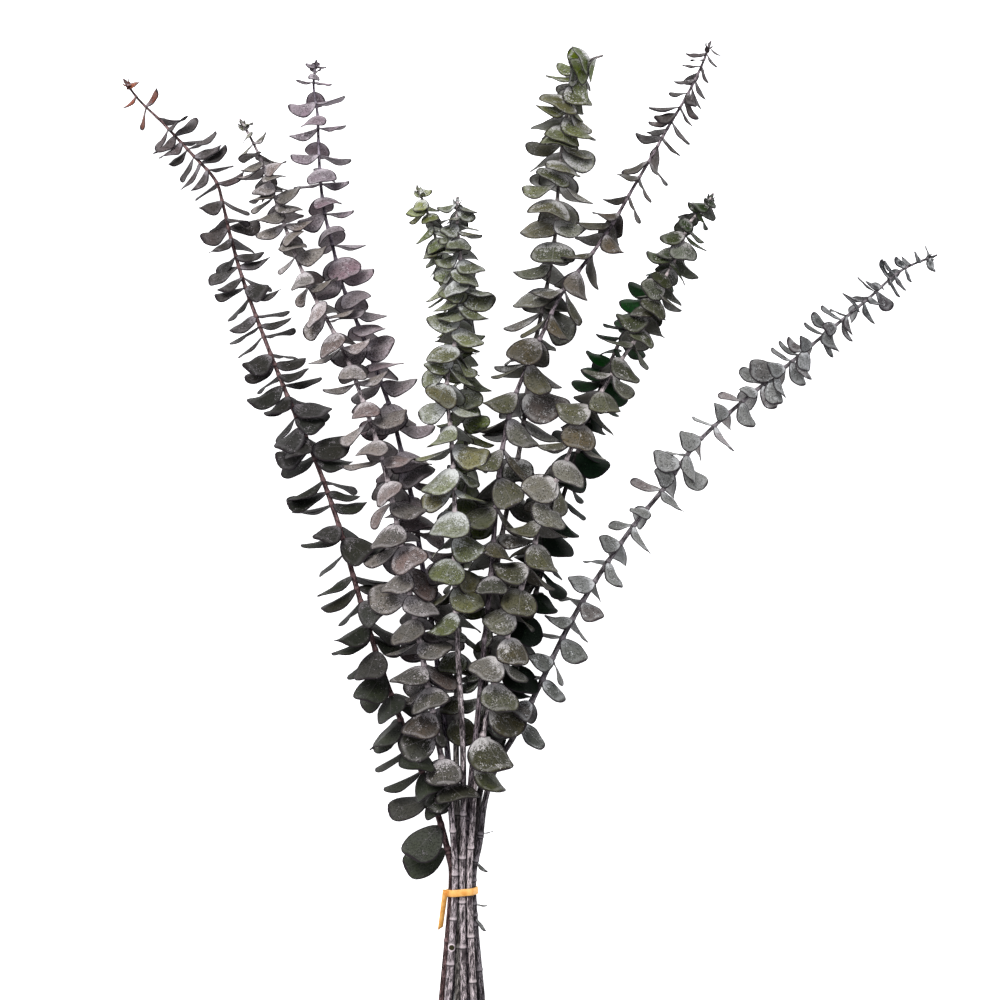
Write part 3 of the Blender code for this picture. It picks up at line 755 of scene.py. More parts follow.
def node_trees():
    """The frame's meshes in the layout's own frame, to find what a leaf crosses."""
    trees = []
    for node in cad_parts.values():
        points = [vertex.co - SHIFT for vertex in node.data.vertices]
        trees.append(BVHTree.FromPolygons(points, [tuple(face.vertices) for face in node.data.polygons]))
    return trees


def placed_leaves(number, stem, trees):
    """The leaves of one stem as they are in the frame, with the finer ones between them."""
    line = LINES[stem.name]
    drawn = list(pairs_of(stem, line, random.Random(FRAME_SEED + number)))
    if stem is FAR_RIGHT:
        drawn += leftovers(line)
    corners = corner_tree("stem_" + stem.name)
    leaves = [leaf for leaf in (in_frame(leaf, corners) for leaf in drawn) if leaf]
    draw = random.Random(FILLER_SEED + number)
    added = list(crown(line, trees)) if stem is HOOKED_BACK else []
    added += fillers(stem, line, leaves, trees, draw)
    added += shoots(stem, line, draw)
    return leaves + [leaf for leaf in added if leaf]


def colour_setting(name, description, shown):
    """A colour that a user may change, from its display value."""
    return FloatVectorProperty(
        name=name, description=description, subtype="COLOR", size=3, default=linear(shown)
    )


def share_setting(name, description, default):
    """A share of something that a user may change."""
    return FloatProperty(name=name, description=description, default=default, subtype="FACTOR")


def length_setting(name, description, default):
    """A length that a user may change."""
    return FloatProperty(name=name, description=description, default=default, unit="LENGTH")


TYPICAL = FINISHES["middle_front"]


class StemLooks(bpy.types.PropertyGroup):
    """Colours of one stem's leaves and wood."""

    shoot: colour_setting("Shoot", "Colour of the youngest leaves", TYPICAL.shoot)
    tip: colour_setting("Tip", "Leaf colour at the tip", TYPICAL.tip)
    middle: colour_setting("Middle", "Leaf colour half way", TYPICAL.middle)
    low: colour_setting("Low", "Leaf colour low down", TYPICAL.low)
    bloom: colour_setting("Bloom", "Colour of the waxy bloom", TYPICAL.bloom)
    tip_bloom: share_setting("Tip bloom", "Amount of bloom at the tip", TYPICAL.amount[0])
    low_bloom: share_setting("Low bloom", "Amount of bloom low down", TYPICAL.amount[1])
    wood: colour_setting("Wood", "Colour of the stem", TYPICAL.wood)
    pale_wood: colour_setting("Pale wood", "Colour of its rings", TYPICAL.pale_wood)


class BladeSettings(bpy.types.PropertyGroup):
    """Sizes of a leaf's fine form."""

    thickness: length_setting("Thickness", "Thickness of a leaf", 0.45 * MM)
    neck: length_setting("Neck", "Width where a leaf meets its stem", 2.2 * MM)
    wave: length_setting("Wave", "Height of the edge's waves", 0.9 * MM)
    fold: share_setting("Fold", "Most fold along the midrib, as a share of width", 0.26)
    twist: FloatProperty(
        name="Twist", description="Most turn from a leaf's root to its tip", default=0.42, unit="ROTATION"
    )
    rows: IntProperty(name="Rows", description="Rows of faces along a leaf", default=13, min=4)
    columns: IntProperty(name="Columns", description="Columns of faces on each half", default=7, min=2)


class WoodSettings(bpy.types.PropertyGroup):
    """Sizes of a stem's fine form."""

    sides: IntProperty(name="Sides", description="Sides of a stem", default=14, min=6)
    step: length_setting("Step", "Distance between its rows of faces", 1.5 * MM)
    stout: length_setting("Stoutness", "Added to the radius at the tip", 0.3 * MM)
    swell: length_setting("Swell", "Height of the joints", 0.42 * MM)
    swell_length: length_setting("Swell length", "Length of a joint", 1.3 * MM)


class BandSettings(bpy.types.PropertyGroup):
    """The tie band."""

    colour: colour_setting("Colour", "Colour of the band", BAND_COLOUR)
    corner_points: IntProperty(name="Corner points", description="Points on each corner", default=14, min=4)


class StageSettings(bpy.types.PropertyGroup):
    """Floor, light and camera."""

    floor_size: length_setting("Floor", "Side of the floor", 8.0)
    height: length_setting("Camera height", "Above the leaves", 2.2)
    view_width: length_setting("View width", "Width of the view", 0.75)
    key: FloatProperty(name="Key light", description="Power of the large light", default=72.0, unit="POWER")
    fill: FloatProperty(name="Fill light", description="Power of the second light", default=8.0, unit="POWER")
    sky: FloatProperty(name="Sky", description="Strength of the light from all round", default=0.45)
    glow: FloatProperty(name="Floor glow", description="Light of the floor itself", default=0.75)
    seen: FloatProperty(name="Floor white", description="Light added where it is seen", default=0.4)


class Wiring:
    """Adds nodes to one tree and joins them up by socket name."""

    def __init__(self, tree):
        self.tree = tree

    def add(self, kind, inputs=(), **settings):
        """A new node with its settings and inputs."""
        node = self.tree.nodes.new(kind)
        for name, value in settings.items():
            setattr(node, name, value)
        for key, value in dict(inputs).items():
            self.put(node.inputs[key], value)
        return node

    def put(self, socket, value):
        """Links a socket to another, or sets its value."""
        if isinstance(value, bpy.types.NodeSocket):
            self.tree.links.new(value, socket)
        else:
            socket.default_value = value

    def math(self, operation, *values):
        """What one kind of reckoning makes of the values."""
        node = self.add("ShaderNodeMath", operation=operation)
        for socket, value in zip(node.inputs, values):
            self.put(socket, value)
        return node.outputs[0]

    def plus(self, first, second):
        return self.math("ADD", first, second)

    def less(self, first, second):
        return self.math("SUBTRACT", first, second)

    def times(self, first, second):
        return self.math("MULTIPLY", first, second)

    def between(self, value, low, high):
        """0 at low and 1 at high, smooth in between. Low may be the higher of the two."""
        node = self.add("ShaderNodeMapRange", {"Value": value}, interpolation_type="SMOOTHSTEP")
        self.put(node.inputs["From Min"], low)
        self.put(node.inputs["From Max"], high)
        return node.outputs["Result"]

    def mix(self, share, first, second, how="MIX"):
        """The first colour at a share of 0, and the second at 1."""
        node = self.add("ShaderNodeMix", data_type="RGBA", blend_type=how)
        self.put(node.inputs["Factor"], share)
        self.put(node.inputs[6], first)
        self.put(node.inputs[7], second)
        return node.outputs[2]

    def cover(self, colour, over, mask, strength):
        """One colour laid over another where the mask is, at most this strongly."""
        return self.mix(self.times(mask, strength), colour, over)

    def noise(self, vector, scale, detail=2.0, roughness=0.5):
        """Soft cloudy values round 0.5."""
        inputs = {"Vector": vector, "Scale": scale, "Detail": detail, "Roughness": roughness}
        return self.add("ShaderNodeTexNoise", inputs).outputs["Fac"]

    def attribute(self, name):
        """The three values of a mark on the mesh."""
        node = self.add("ShaderNodeAttribute", attribute_name=name, attribute_type="GEOMETRY")
        return self.add("ShaderNodeSeparateXYZ", {"Vector": node.outputs["Vector"]}).outputs

    def group(self, tree, **inputs):
        """What a shared node group makes of its inputs, by socket name."""
        return self.add("ShaderNodeGroup", inputs, node_tree=tree).outputs

    def bump(self, shader, height, strength, depth):
        """Raises a material's surface where the height is more."""
        node = self.add("ShaderNodeBump", {"Height": height, "Strength": strength, "Distance": depth})
        self.put(shader.inputs["Normal"], node.outputs["Normal"])


def new_group(name, inputs, outputs):
    """An empty shader node group with named sockets, its wiring, and its two ends."""
    tree = bpy.data.node_groups.new(name, "ShaderNodeTree")
    for label, kind, default in inputs:
        socket = tree.interface.new_socket(label, in_out="INPUT", socket_type=kind)
        if default is not None:
            socket.default_value = default
    for label in outputs:
        tree.interface.new_socket(label, in_out="OUTPUT", socket_type="NodeSocketFloat")
    wiring = Wiring(tree)
    return tree, wiring, wiring.add("NodeGroupInput").outputs, wiring.add("NodeGroupOutput").inputs


def flecks_group():
    """Patches of waxy bloom, with fine pale and dark flecks, over any surface."""
    tree, w, given, out = new_group(
        "bloom_flecks",
        [
            ("Place", "NodeSocketVector", None),
            ("Amount", "NodeSocketFloat", 0.5),
            ("Patch Scale", "NodeSocketFloat", 130.0),
            ("Fleck Scale", "NodeSocketFloat", 1050.0),
        ],
        ("Bloom", "Pale", "Dark"),
    )
    patches = w.noise(given["Place"], given["Patch Scale"], 4.0, 0.62)
    cloud = w.noise(given["Place"], w.times(given["Patch Scale"], 4.3), 3.0, 0.6)
    both = w.plus(w.times(patches, 0.62), w.times(cloud, 0.38))
    level = w.less(0.78, w.times(given["Amount"], 0.42))
    low = w.less(level, 0.07)
    high = w.plus(level, 0.07)
    w.put(out["Bloom"], w.between(both, low, high))
    raised = w.times(w.less(both, 0.5), 1.1)
    fine = w.plus(w.noise(given["Place"], given["Fleck Scale"], 2.5, 0.75), raised)
    more = w.times(w.less(given["Amount"], 0.5), 0.24)
    w.put(out["Pale"], w.between(w.plus(fine, more), 0.575, 0.625))
    pits = w.noise(given["Place"], w.times(given["Fleck Scale"], 0.7), 2.0, 0.65)
    w.put(out["Dark"], w.between(w.less(pits, w.times(raised, 0.4)), 0.50, 0.42))
    return tree


def markings_group():
    """The marks of a leaf: midrib and side veins, the thin rim, and the powder at its base."""
    tree, w, given, out = new_group(
        "leaf_markings",
        [
            ("Along", "NodeSocketFloat", 0.0),
            ("Across", "NodeSocketFloat", 0.0),
            ("Edge", "NodeSocketFloat", 1.0),
            ("Wander", "NodeSocketFloat", 0.0),
            ("Seed", "NodeSocketFloat", 0.0),
        ],
        ("Veins", "Rim", "Lip", "Base", "Powder"),
    )
    off = w.math("ABSOLUTE", given["Across"])
    thin = w.less(0.030, w.times(given["Along"], 0.022))
    midrib = w.between(off, thin, 0.0)
    wandered = w.plus(given["Along"], w.times(given["Wander"], 0.22))
    slanted = w.less(wandered, w.times(off, 1.15))
    turns = w.math("FRACT", w.times(slanted, 6.5))
    line = w.between(w.math("ABSOLUTE", w.less(turns, 0.5)), 0.085, 0.0)
    inner = w.between(given["Edge"], 0.0, 0.22)
    broken = w.between(given["Wander"], -0.12, 0.12)
    sides = w.times(w.times(line, inner), w.times(broken, 0.5))
    w.put(out["Veins"], w.math("MAXIMUM", midrib, sides))
    w.put(out["Rim"], w.between(given["Edge"], 0.085, 0.055))
    lip = w.times(w.between(given["Edge"], 0.09, 0.15), w.between(given["Edge"], 0.27, 0.18))
    w.put(out["Lip"], w.times(lip, w.between(given["Wander"], -0.2, 0.1)))
    base = w.between(given["Along"], 0.5, 0.0)
    w.put(out["Base"], base)
    fan = w.math("DIVIDE", given["Across"], w.plus(given["Along"], 0.12))
    rays = w.add("ShaderNodeCombineXYZ")
    w.put(rays.inputs["X"], w.times(fan, 1.7))
    w.put(rays.inputs["Y"], w.times(given["Along"], 1.5))
    w.put(rays.inputs["Z"], w.times(given["Seed"], 40.0))
    streaks = w.noise(rays.outputs[0], 6.0, 4.0, 0.72)
    lifted = w.plus(streaks, w.times(w.less(base, 0.5), 0.34))
    low_down = w.between(given["Along"], 0.75, 0.4)
    w.put(out["Powder"], w.times(w.between(lifted, 0.53, 0.63), low_down))
    return tree


def bark_group():
    """Long dark grain and specks on a stem."""
    tree, w, given, out = new_group(
        "bark_grain",
        [("Place", "NodeSocketVector", None), ("Stretch", "NodeSocketFloat", 0.16)],
        ("Grain", "Specks", "Patches"),
    )
    shape = w.add("ShaderNodeCombineXYZ", {"X": 1.0, "Y": 1.0, "Z": given["Stretch"]}).outputs[0]
    long = w.add("ShaderNodeVectorMath", operation="MULTIPLY")
    w.put(long.inputs[0], given["Place"])
    w.put(long.inputs[1], shape)
    grain = w.noise(long.outputs[0], 1.5, 4.0, 0.7)
    w.put(out["Grain"], w.between(grain, 0.46, 0.54))
    specks = w.noise(given["Place"], 2.2, 3.0, 0.7)
    w.put(out["Specks"], w.between(specks, 0.56, 0.61))
    patches = w.noise(long.outputs[0], 0.42, 3.0, 0.6)
    w.put(out["Patches"], w.between(patches, 0.38, 0.56))
    return tree


def new_material(name):
    """An empty Principled material, with its wiring and its shader."""
    material = bpy.data.materials.new(name)
    material.use_nodes = True
    return material, Wiring(material.node_tree), material.node_tree.nodes["Principled BSDF"]


def rgba(colour):
    """An opaque colour for a socket."""
    return (*colour, 1.0)


def leaf_material(looks, flecks, markings):
    """Matte leaf with olive blotches, broken waxy bloom, powder from its base and a thin dark rim."""
    material, w, shader = new_material("leaf_" + looks.name)
    place = w.add("ShaderNodeTexCoord").outputs["Object"]
    along, across, edge = w.attribute("leaf_place")
    tone, share, dusty = w.attribute("leaf_kind")
    ramp = w.add("ShaderNodeValToRGB", {"Fac": share})
    stops = ramp.color_ramp.elements
    stops[0].color = rgba(looks.shoot)
    stops[1].color = rgba(looks.low)
    stops.new(TIP_SHARE).color = rgba(looks.tip)
    stops.new(MIDDLE_SHARE).color = rgba(looks.middle)
    other = w.math("FRACT", w.times(tone, 7.3))
    ground = w.mix(w.between(other, 0.45, 0.9), ramp.outputs["Color"], rgba(WARM_TINT), "MULTIPLY")
    bloom = rgba(looks.bloom)
    dark = rgba(c * 0.22 for c in looks.low)
    olive = w.add("ShaderNodeHueSaturation", {"Color": ground, "Saturation": 1.5, "Value": 0.93}).outputs[0]
    blotches = w.between(w.noise(place, 85.0, 3.0), 0.40, 0.56)
    colour = w.mix(w.times(blotches, w.between(along, 0.1, 0.6)), ground, olive)
    colour = w.cover(colour, dark, w.between(tone, 0.55, 0.0), LEAF_COVER["shade"])
    frosted = w.times(w.between(dusty, 0.72, 1.0), w.plus(looks.tip_bloom, looks.low_bloom))
    colour = w.cover(colour, bloom, frosted, LEAF_COVER["frost"])
    amount = w.plus(looks.tip_bloom, w.times(share, looks.low_bloom - looks.tip_bloom))
    amount = w.times(amount, w.plus(0.45, w.times(dusty, 1.1)))
    wander = w.less(w.noise(place, 160.0, 2.0), 0.5)
    marks = w.group(markings, Along=along, Across=across, Edge=edge, Wander=wander, Seed=tone)
    nearer = w.plus(0.62, w.times(marks["Base"], 1.1))
    strewn = w.times(amount, nearer)
    spots = w.group(flecks, Place=place, Amount=strewn)
    pale = rgba(min(1, c * 1.2) for c in looks.bloom)
    colour = w.cover(colour, bloom, spots["Bloom"], LEAF_COVER["bloom"])
    colour = w.cover(colour, dark, spots["Dark"], LEAF_COVER["pits"])
    colour = w.cover(colour, pale, spots["Pale"], LEAF_COVER["flecks"])
    powder = w.times(marks["Powder"], w.between(amount, 0.0, 0.5))
    colour = w.cover(colour, pale, powder, LEAF_COVER["powder"])
    colour = w.cover(colour, bloom, marks["Veins"], LEAF_COVER["veins"])
    facing = w.add("ShaderNodeAttribute", attribute_name="leaf_back", attribute_type="GEOMETRY")
    normal = w.add("ShaderNodeNewGeometry").outputs["Normal"]
    back = w.add("ShaderNodeVectorMath", {0: facing.outputs["Vector"], 1: normal}, operation="DOT_PRODUCT")
    back = w.times(w.between(back.outputs["Value"], -0.1, 0.1), w.between(amount, 0.0, 0.6))
    colour = w.cover(colour, rgba(c * 0.5 for c in looks.bloom), back, LEAF_COVER["back"])
    colour = w.cover(colour, bloom, marks["Lip"], w.times(amount, LEAF_COVER["lip"]))
    colour = w.cover(colour, rgba(linear(RIM_COLOUR)), marks["Rim"], LEAF_COVER["rim"])
    w.put(shader.inputs["Base Color"], colour)
    w.put(shader.inputs["Roughness"], w.plus(0.56, w.times(spots["Bloom"], 0.18)))
    w.put(shader.inputs["Specular IOR Level"], MATTE)
    height = w.less(w.times(spots["Pale"], 0.5), w.times(spots["Dark"], 0.5))
    w.bump(shader, w.less(height, w.times(marks["Veins"], 0.6)), 0.55, 0.12 * MM)
    return material


def wood_material(looks, bark):
    """Grey-pink wood with dark grain, pale rings, dark grooves, a flat cut end and its scar, and painted
    shade along its edges.
    """
    material, w, shader = new_material("wood_" + looks.name)
    place = w.add("ShaderNodeAttribute", attribute_name="bark_place", attribute_type="GEOMETRY")
    joint, groove, cut = w.attribute("bark_kind")
    scar = w.attribute("bark_scar")[0]
    grain = w.group(bark, Place=place.outputs["Vector"])
    dark = rgba(c * 0.1 for c in looks.wood)
    colour = w.mix(grain["Patches"], rgba(looks.wood), rgba(looks.pale_wood))
    colour = w.cover(colour, dark, grain["Grain"], WOOD_COVER["grain"])
    colour = w.cover(colour, dark, grain["Specks"], WOOD_COVER["specks"])
    colour = w.cover(colour, rgba(looks.pale_wood), w.math("POWER", joint, 0.7), WOOD_COVER["joint"])
    colour = w.cover(colour, dark, groove, WOOD_COVER["groove"])
    # Painted shade: the wood is darkened where its surface turns away from the view, along the stem's edges.
    facing = w.add("ShaderNodeLayerWeight", {"Blend": 0.5}).outputs["Facing"]
    colour = w.cover(colour, dark, w.between(facing, 0.3, 0.85), WOOD_COVER["sides"])
    colour = w.mix(w.between(scar, 1.12, 1.0), colour, rgba(looks.pale_wood))
    colour = w.mix(w.between(scar, 0.82, 0.68), colour, rgba(linear(SCAR_COLOUR)))
    colour = w.mix(cut, colour, rgba(CUT_COLOUR))
    w.put(shader.inputs["Base Color"], colour)
    w.put(shader.inputs["Roughness"], w.plus(0.52, w.times(grain["Grain"], 0.2)))
    w.put(shader.inputs["Specular IOR Level"], MATTE)
    w.bump(shader, grain["Grain"], 0.6, 0.15 * MM)
    return material


def rubber_material(colour):
    """Satin yellow-orange rubber with soft deeper clouds and a fine bumped grain."""
    material, w, shader = new_material("band_rubber")
    place = w.add("ShaderNodeTexCoord").outputs["Object"]
    cloud = w.noise(place, 260.0, 3.0)
    fine = w.noise(place, 1500.0, 2.0)
    deep = rgba((colour[0] * 0.80, colour[1] * 0.62, colour[2] * 0.35))
    w.put(shader.inputs["Base Color"], w.mix(w.between(cloud, 0.35, 0.75), rgba(colour), deep))
    w.put(shader.inputs["Roughness"], w.plus(0.42, w.times(fine, 0.2)))
    w.bump(shader, fine, 0.35, 0.1 * MM)
    return material


def net_faces(rows, columns, rows_meet=False, columns_meet=True):
    """Four-sided faces between rows of points, which may meet again either way."""
    return [
        (row * columns + k, row * columns + (k + 1) % columns,
         (row + 1) % rows * columns + (k + 1) % columns, (row + 1) % rows * columns + k)
        for row in range(rows if rows_meet else rows - 1)
        for k in range(columns if columns_meet else columns - 1)
    ]


def half_width(u, widest, fullness):
    """A leaf's half width at this share of its length, as a share of the most: 1 where it is widest."""
    rise = np.clip(u / widest, 0, None) ** widest
    fall = np.clip((1 - u) / (1 - widest), 0, None) ** (1 - widest)
    return (rise * fall) ** fullness


class BladeGrid:
    """The net of points that every leaf shares: rows from root to tip, columns from side to side."""

    def __init__(self, settings):
        rows = np.arange(settings.rows + 1) / settings.rows
        columns = np.arange(settings.columns) / (settings.columns - 1)
        side = np.insert(np.sin(columns * math.pi / 2), 1, BESIDE_MIDRIB)
        across = np.concatenate([-side[::-1], side[1:]])
        along = (1 - np.cos(rows * math.pi)) / 2
        self.u, self.t = (grid.ravel() for grid in np.meshgrid(along, across, indexing="ij"))
        self.faces = net_faces(len(along), len(across), columns_meet=False)


def fine_blade(leaf, line, grid, finish, settings, draw):
    """The points of one leaf, and its marks: place on the leaf, kind, and the way its back faces."""
    across, along, up = (np.array(axis) for axis in leaf.turned())
    u = grid.u
    widest = finish.widest + draw.uniform(-WIDEST_JITTER, WIDEST_JITTER)
    fullness = finish.fullness * draw.uniform(1 - FULLNESS_JITTER, 1 + FULLNESS_JITTER)
    fullness *= SMALL_POINT if leaf.small else 1.0
    half = half_width(u, widest, fullness) / 2
    neck = settings.neck / 2 / leaf.width * (1 - u) ** 2
    tip = NARROWEST_TIP * u ** 8
    v = grid.t * np.maximum(np.maximum(half, neck), tip)
    size = min(1.0, leaf.length / FULL_LENGTH)
    lift = leaf.cup * leaf.width * np.abs(v) ** CUP_POWER * 2 - leaf.curl * leaf.length * u * u
    fold = settings.fold * draw.uniform(0, 1) ** 2
    lift = lift + fold * leaf.width * np.abs(v) * np.sin(np.pi * u)
    start, side_start = draw.uniform(0, math.tau), draw.uniform(0, math.tau)
    waves = np.sin(start + u * draw.uniform(*WAVES_ALONG) + np.sign(grid.t) * side_start)
    lift = lift + settings.wave * size * waves * grid.t ** 2 * np.sin(np.pi * np.clip(u, 0.05, 1))
    sway = draw.uniform(-SWAY, SWAY) * leaf.length * u * u
    turn = draw.uniform(-settings.twist, settings.twist) * size * u
    off = v * leaf.width
    root = np.array(leaf.axis) + along * max(leaf.stem_radius - ROOT_SUNK, 0)
    drift = np.array(line.at(leaf.from_tip)[0] - leaf.axis)
    points = root + np.outer(off * np.cos(turn) + sway, across) + np.outer(u * leaf.length, along)
    points = points + np.outer(lift + off * np.sin(turn), up) + np.outer(1 - u, drift)
    points = np.clip(points, ROOM_LOW + settings.thickness, ROOM_HIGH - settings.thickness)
    edge = np.minimum((half - np.abs(v)) * 2, (1 - u) * 1.2) * min(1.0, max(0.5, leaf.width / FULL_WIDTH))
    share = min(1.0, leaf.from_tip / line.leafy)
    count = (len(u), 1)
    return points, {
        "leaf_place": np.column_stack([u, v, np.maximum(edge, 0)]),
        "leaf_kind": np.tile([draw.random(), share, draw.random()], count),
        "leaf_back": np.tile(up, count),
    }


def add_vectors(mesh, name, values):
    """A mark of three values on each point of a mesh."""
    attribute = mesh.attributes.new(name, "FLOAT_VECTOR", "POINT")
    attribute.data.foreach_set("vector", np.asarray(values, np.float32).ravel())


def new_piece(name, points, faces, marks):
    """A mesh object in the frame's place, from points in the layout's."""
    mesh = bpy.data.meshes.new(name)
    mesh.from_pydata((np.asarray(points) + np.array(SHIFT)).tolist(), [], faces)
    for label, values in marks.items():
        add_vectors(mesh, label, values)
    mesh.shade_smooth()
    mesh.update()
    piece = bpy.data.objects.new(name, mesh)
    bpy.context.scene.collection.objects.link(piece)
    return piece


def keep_in_frame(piece, node, slot):
    """The piece moves with the bunch and stands for the node. The slot is not used."""
    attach(piece, "root")
    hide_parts(node)


def leaves_piece(number, stem, trees, scene):
    """All leaves of one stem as one mesh of thin blades."""
    settings = scene.eucalyptus_blades
    finish = FINISHES[stem.name]
    draw = random.Random(BLADE_SEED + number)
    grid = BladeGrid(settings)
    leaves = placed_leaves(number, stem, trees)
    blades = [fine_blade(leaf, LINES[stem.name], grid, finish, settings, draw) for leaf in leaves]
    marks = {name: np.vstack([blade[1][name] for blade in blades]) for name in blades[0][1]}
    faces = [
        tuple(k * len(grid.u) + corner for corner in face) for k in range(len(blades)) for face in grid.faces
    ]
    piece = new_piece("leaves_" + stem.name, np.vstack([blade[0] for blade in blades]), faces, marks)
    body = piece.modifiers.new("Blade thickness", "SOLIDIFY")
    body.thickness = settings.thickness
    body.offset = 0
    return piece, leaves


def wood_piece(stem, leaves, scene):
    """One stem as a round tube along its smooth route, swollen at each joint, cut flat at its end."""
    settings = scene.eucalyptus_wood
    line = LINES[stem.name]
    joints = {round(leaf.from_tip / MM, 1) * MM for leaf in leaves}
    rings = int((line.length - line.first_ring) / RING_STEP)
    joints |= {line.first_ring + k * RING_STEP for k in range(rings)}
    joints = np.array(sorted(joints))
    stations = np.linspace(0, line.length, int(line.length / settings.step))
    bare = joints[joints > line.leafy]
    stations = np.unique(np.concatenate([stations] + [bare + off * MM for off in RING_STATIONS]))
    stations = stations[stations <= line.length]
    angles = np.arange(settings.sides) * math.tau / settings.sides
    points, places, kinds, scars = [], [], [], []
    scar = line.from_tip(SCAR_Y) if stem is LEFT_FRONT else None
    side = Vector((1, 0, 0))
    for distance in stations:
        centre, along = line.at(distance)
        side = (side - along * side.dot(along)).normalized()
        front = along.cross(side)
        off = (joints - distance) / settings.swell_length
        swell = np.exp(-off ** 2).max()
        groove = np.exp(-(((joints + GROOVE_BELOW - distance) / GROOVE_LENGTH) ** 2)).max()
        size = line.radius(distance) + settings.stout * (1 - distance / line.length)
        radius = size + settings.swell * swell * min(1.0, size / STOUT_WOOD) - GROOVE_DEPTH * groove
        ring = np.outer(np.cos(angles), side) + np.outer(np.sin(angles), front)
        away = np.full(settings.sides, FAR_AWAY)
        if scar:
            away = np.hypot(np.cos(angles) * size, distance - scar) / SCAR_RADIUS
            away = np.where(np.sin(angles) < 0, away, FAR_AWAY)
        radius = radius + SCAR_HEIGHT * np.clip(2 - away * SCAR_SLOPE, 0, 1)
        scars.append(np.column_stack([away, away * 0, away * 0]))
        points.append(np.array(centre) + ring * np.reshape(radius, (-1, 1)))
        turn = np.column_stack([np.cos(angles), np.sin(angles)]) * size / MM
        places.append(np.column_stack([turn, np.full(settings.sides, distance / MM)]))
        kinds.append(np.tile([swell, groove, 0.0], (settings.sides, 1)))
    count = settings.sides
    faces = net_faces(len(stations), count)
    end = len(stations) * count
    points += [points[-1], np.array([line.at(line.length)[0]]), np.array([line.at(0)[0]])]
    places += [places[-1], places[-1][:1], places[0][:1]]
    kinds += [np.tile([0.0, 0.0, 1.0], (count + 1, 1)), kinds[0][:1]]
    scars.append(np.tile(scars[0][:1], (count + 2, 1)))
    faces += [(end + k, end + (k + 1) % count, end + count) for k in range(count)]
    faces += [((k + 1) % count, k, end + count + 1) for k in range(count)]
    marks = {"bark_place": np.vstack(places), "bark_kind": np.vstack(kinds), "bark_scar": np.vstack(scars)}
    return new_piece("wood_" + stem.name, np.clip(np.vstack(points), ROOM_LOW, ROOM_HIGH), faces, marks)


def band_piece(settings):
    """The band's ring with rounded edges, and its loose end."""
    tilt = Matrix.Rotation(math.radians(BAND_TILT), 3, "Z")
    inner = LEFT_BACK.radii[1] * MM + BAND_GAP
    middle = inner + BAND_THICKNESS / 2
    loop = band_outline(band_corners(), middle, settings.corner_points)
    outward = []
    for i, point in enumerate(loop):
        along = (loop[(i + 1) % len(loop)] - loop[i - 1]).normalized()
        outward.append(Vector((along.y, -along.x)))
    half = BAND_THICKNESS / 2
    edge = BAND_WIDTH / 2
    section = [
        (-half, -edge + BAND_EDGE), (-half, edge - BAND_EDGE),
        (-half + BAND_EDGE, edge), (half - BAND_EDGE, edge),
        (half, edge - BAND_EDGE), (half, -edge + BAND_EDGE),
        (half - BAND_EDGE, -edge), (-half + BAND_EDGE, -edge),
    ]
    points = []
    for point, out in zip(loop, outward):
        for off, y in section:
            place = point + out * off
            points.append(tilt @ Vector((place.x, y, place.y)))
    count = len(section)
    faces = net_faces(len(loop), count, rows_meet=True)
    first = len(points)
    run = TAIL_END - TAIL_START
    pointed = run.to_track_quat("Y", "Z").to_matrix()
    for step in range(TAIL_STEPS + 1):
        share = step / TAIL_STEPS
        turned = pointed @ Matrix.Rotation(math.radians(TAIL_TWIST * (0.75 + 0.25 * share)), 3, "Y")
        bend = Vector((0, 0, TAIL_BEND * math.sin(share * math.pi * 1.5)))
        centre = TAIL_START + run * share + pointed @ bend
        for off, x in section:
            slant = TAIL_SLANT * (x / BAND_WIDTH) if step == TAIL_STEPS else 0.0
            points.append(centre + turned @ Vector((x * TAIL_WIDTH / BAND_WIDTH, slant, off)))
    faces += [(first + a, first + d, first + c, first + b) for a, b, c, d in net_faces(TAIL_STEPS + 1, count)]
    faces.append(tuple(first + k for k in range(count)))
    faces.append(tuple(first + TAIL_STEPS * count + k for k in reversed(range(count))))
    return new_piece("band", np.array([tuple(point) for point in points]), faces, {})


class EUCALYPTUS_OT_stems(bpy.types.Operator):
    """Grow the leaves and the wood of every stem"""

    bl_idname = "eucalyptus.stems"
    bl_label = "Grow stems"

    def execute(self, context):
        scene = context.scene
        flecks, markings, bark = flecks_group(), markings_group(), bark_group()
        trees = node_trees()
        for number, stem in enumerate(STEMS):
            looks = scene.eucalyptus_stems[stem.name]
            slot = FINISHES[stem.name].slot
            piece, leaves = leaves_piece(number, stem, trees, scene)
            piece.data.materials.append(leaf_material(looks, flecks, markings))
            keep_in_frame(piece, "stem_" + stem.name, slot)
            wood = wood_piece(stem, leaves, scene)
            wood.data.materials.append(wood_material(looks, bark))
            keep_in_frame(wood, "stem_" + stem.name, slot)
        return {"FINISHED"}


class EUCALYPTUS_OT_band(bpy.types.Operator):
    """Put the flat band with its loose end round the stems"""

    bl_idname = "eucalyptus.band"
    bl_label = "Put on band"

    def execute(self, context):
        settings = context.scene.eucalyptus_band
        piece = band_piece(settings)
        piece.data.materials.append(rubber_material(settings.colour))
        keep_in_frame(piece, "tie_band", "band_rubber")
        return {"FINISHED"}


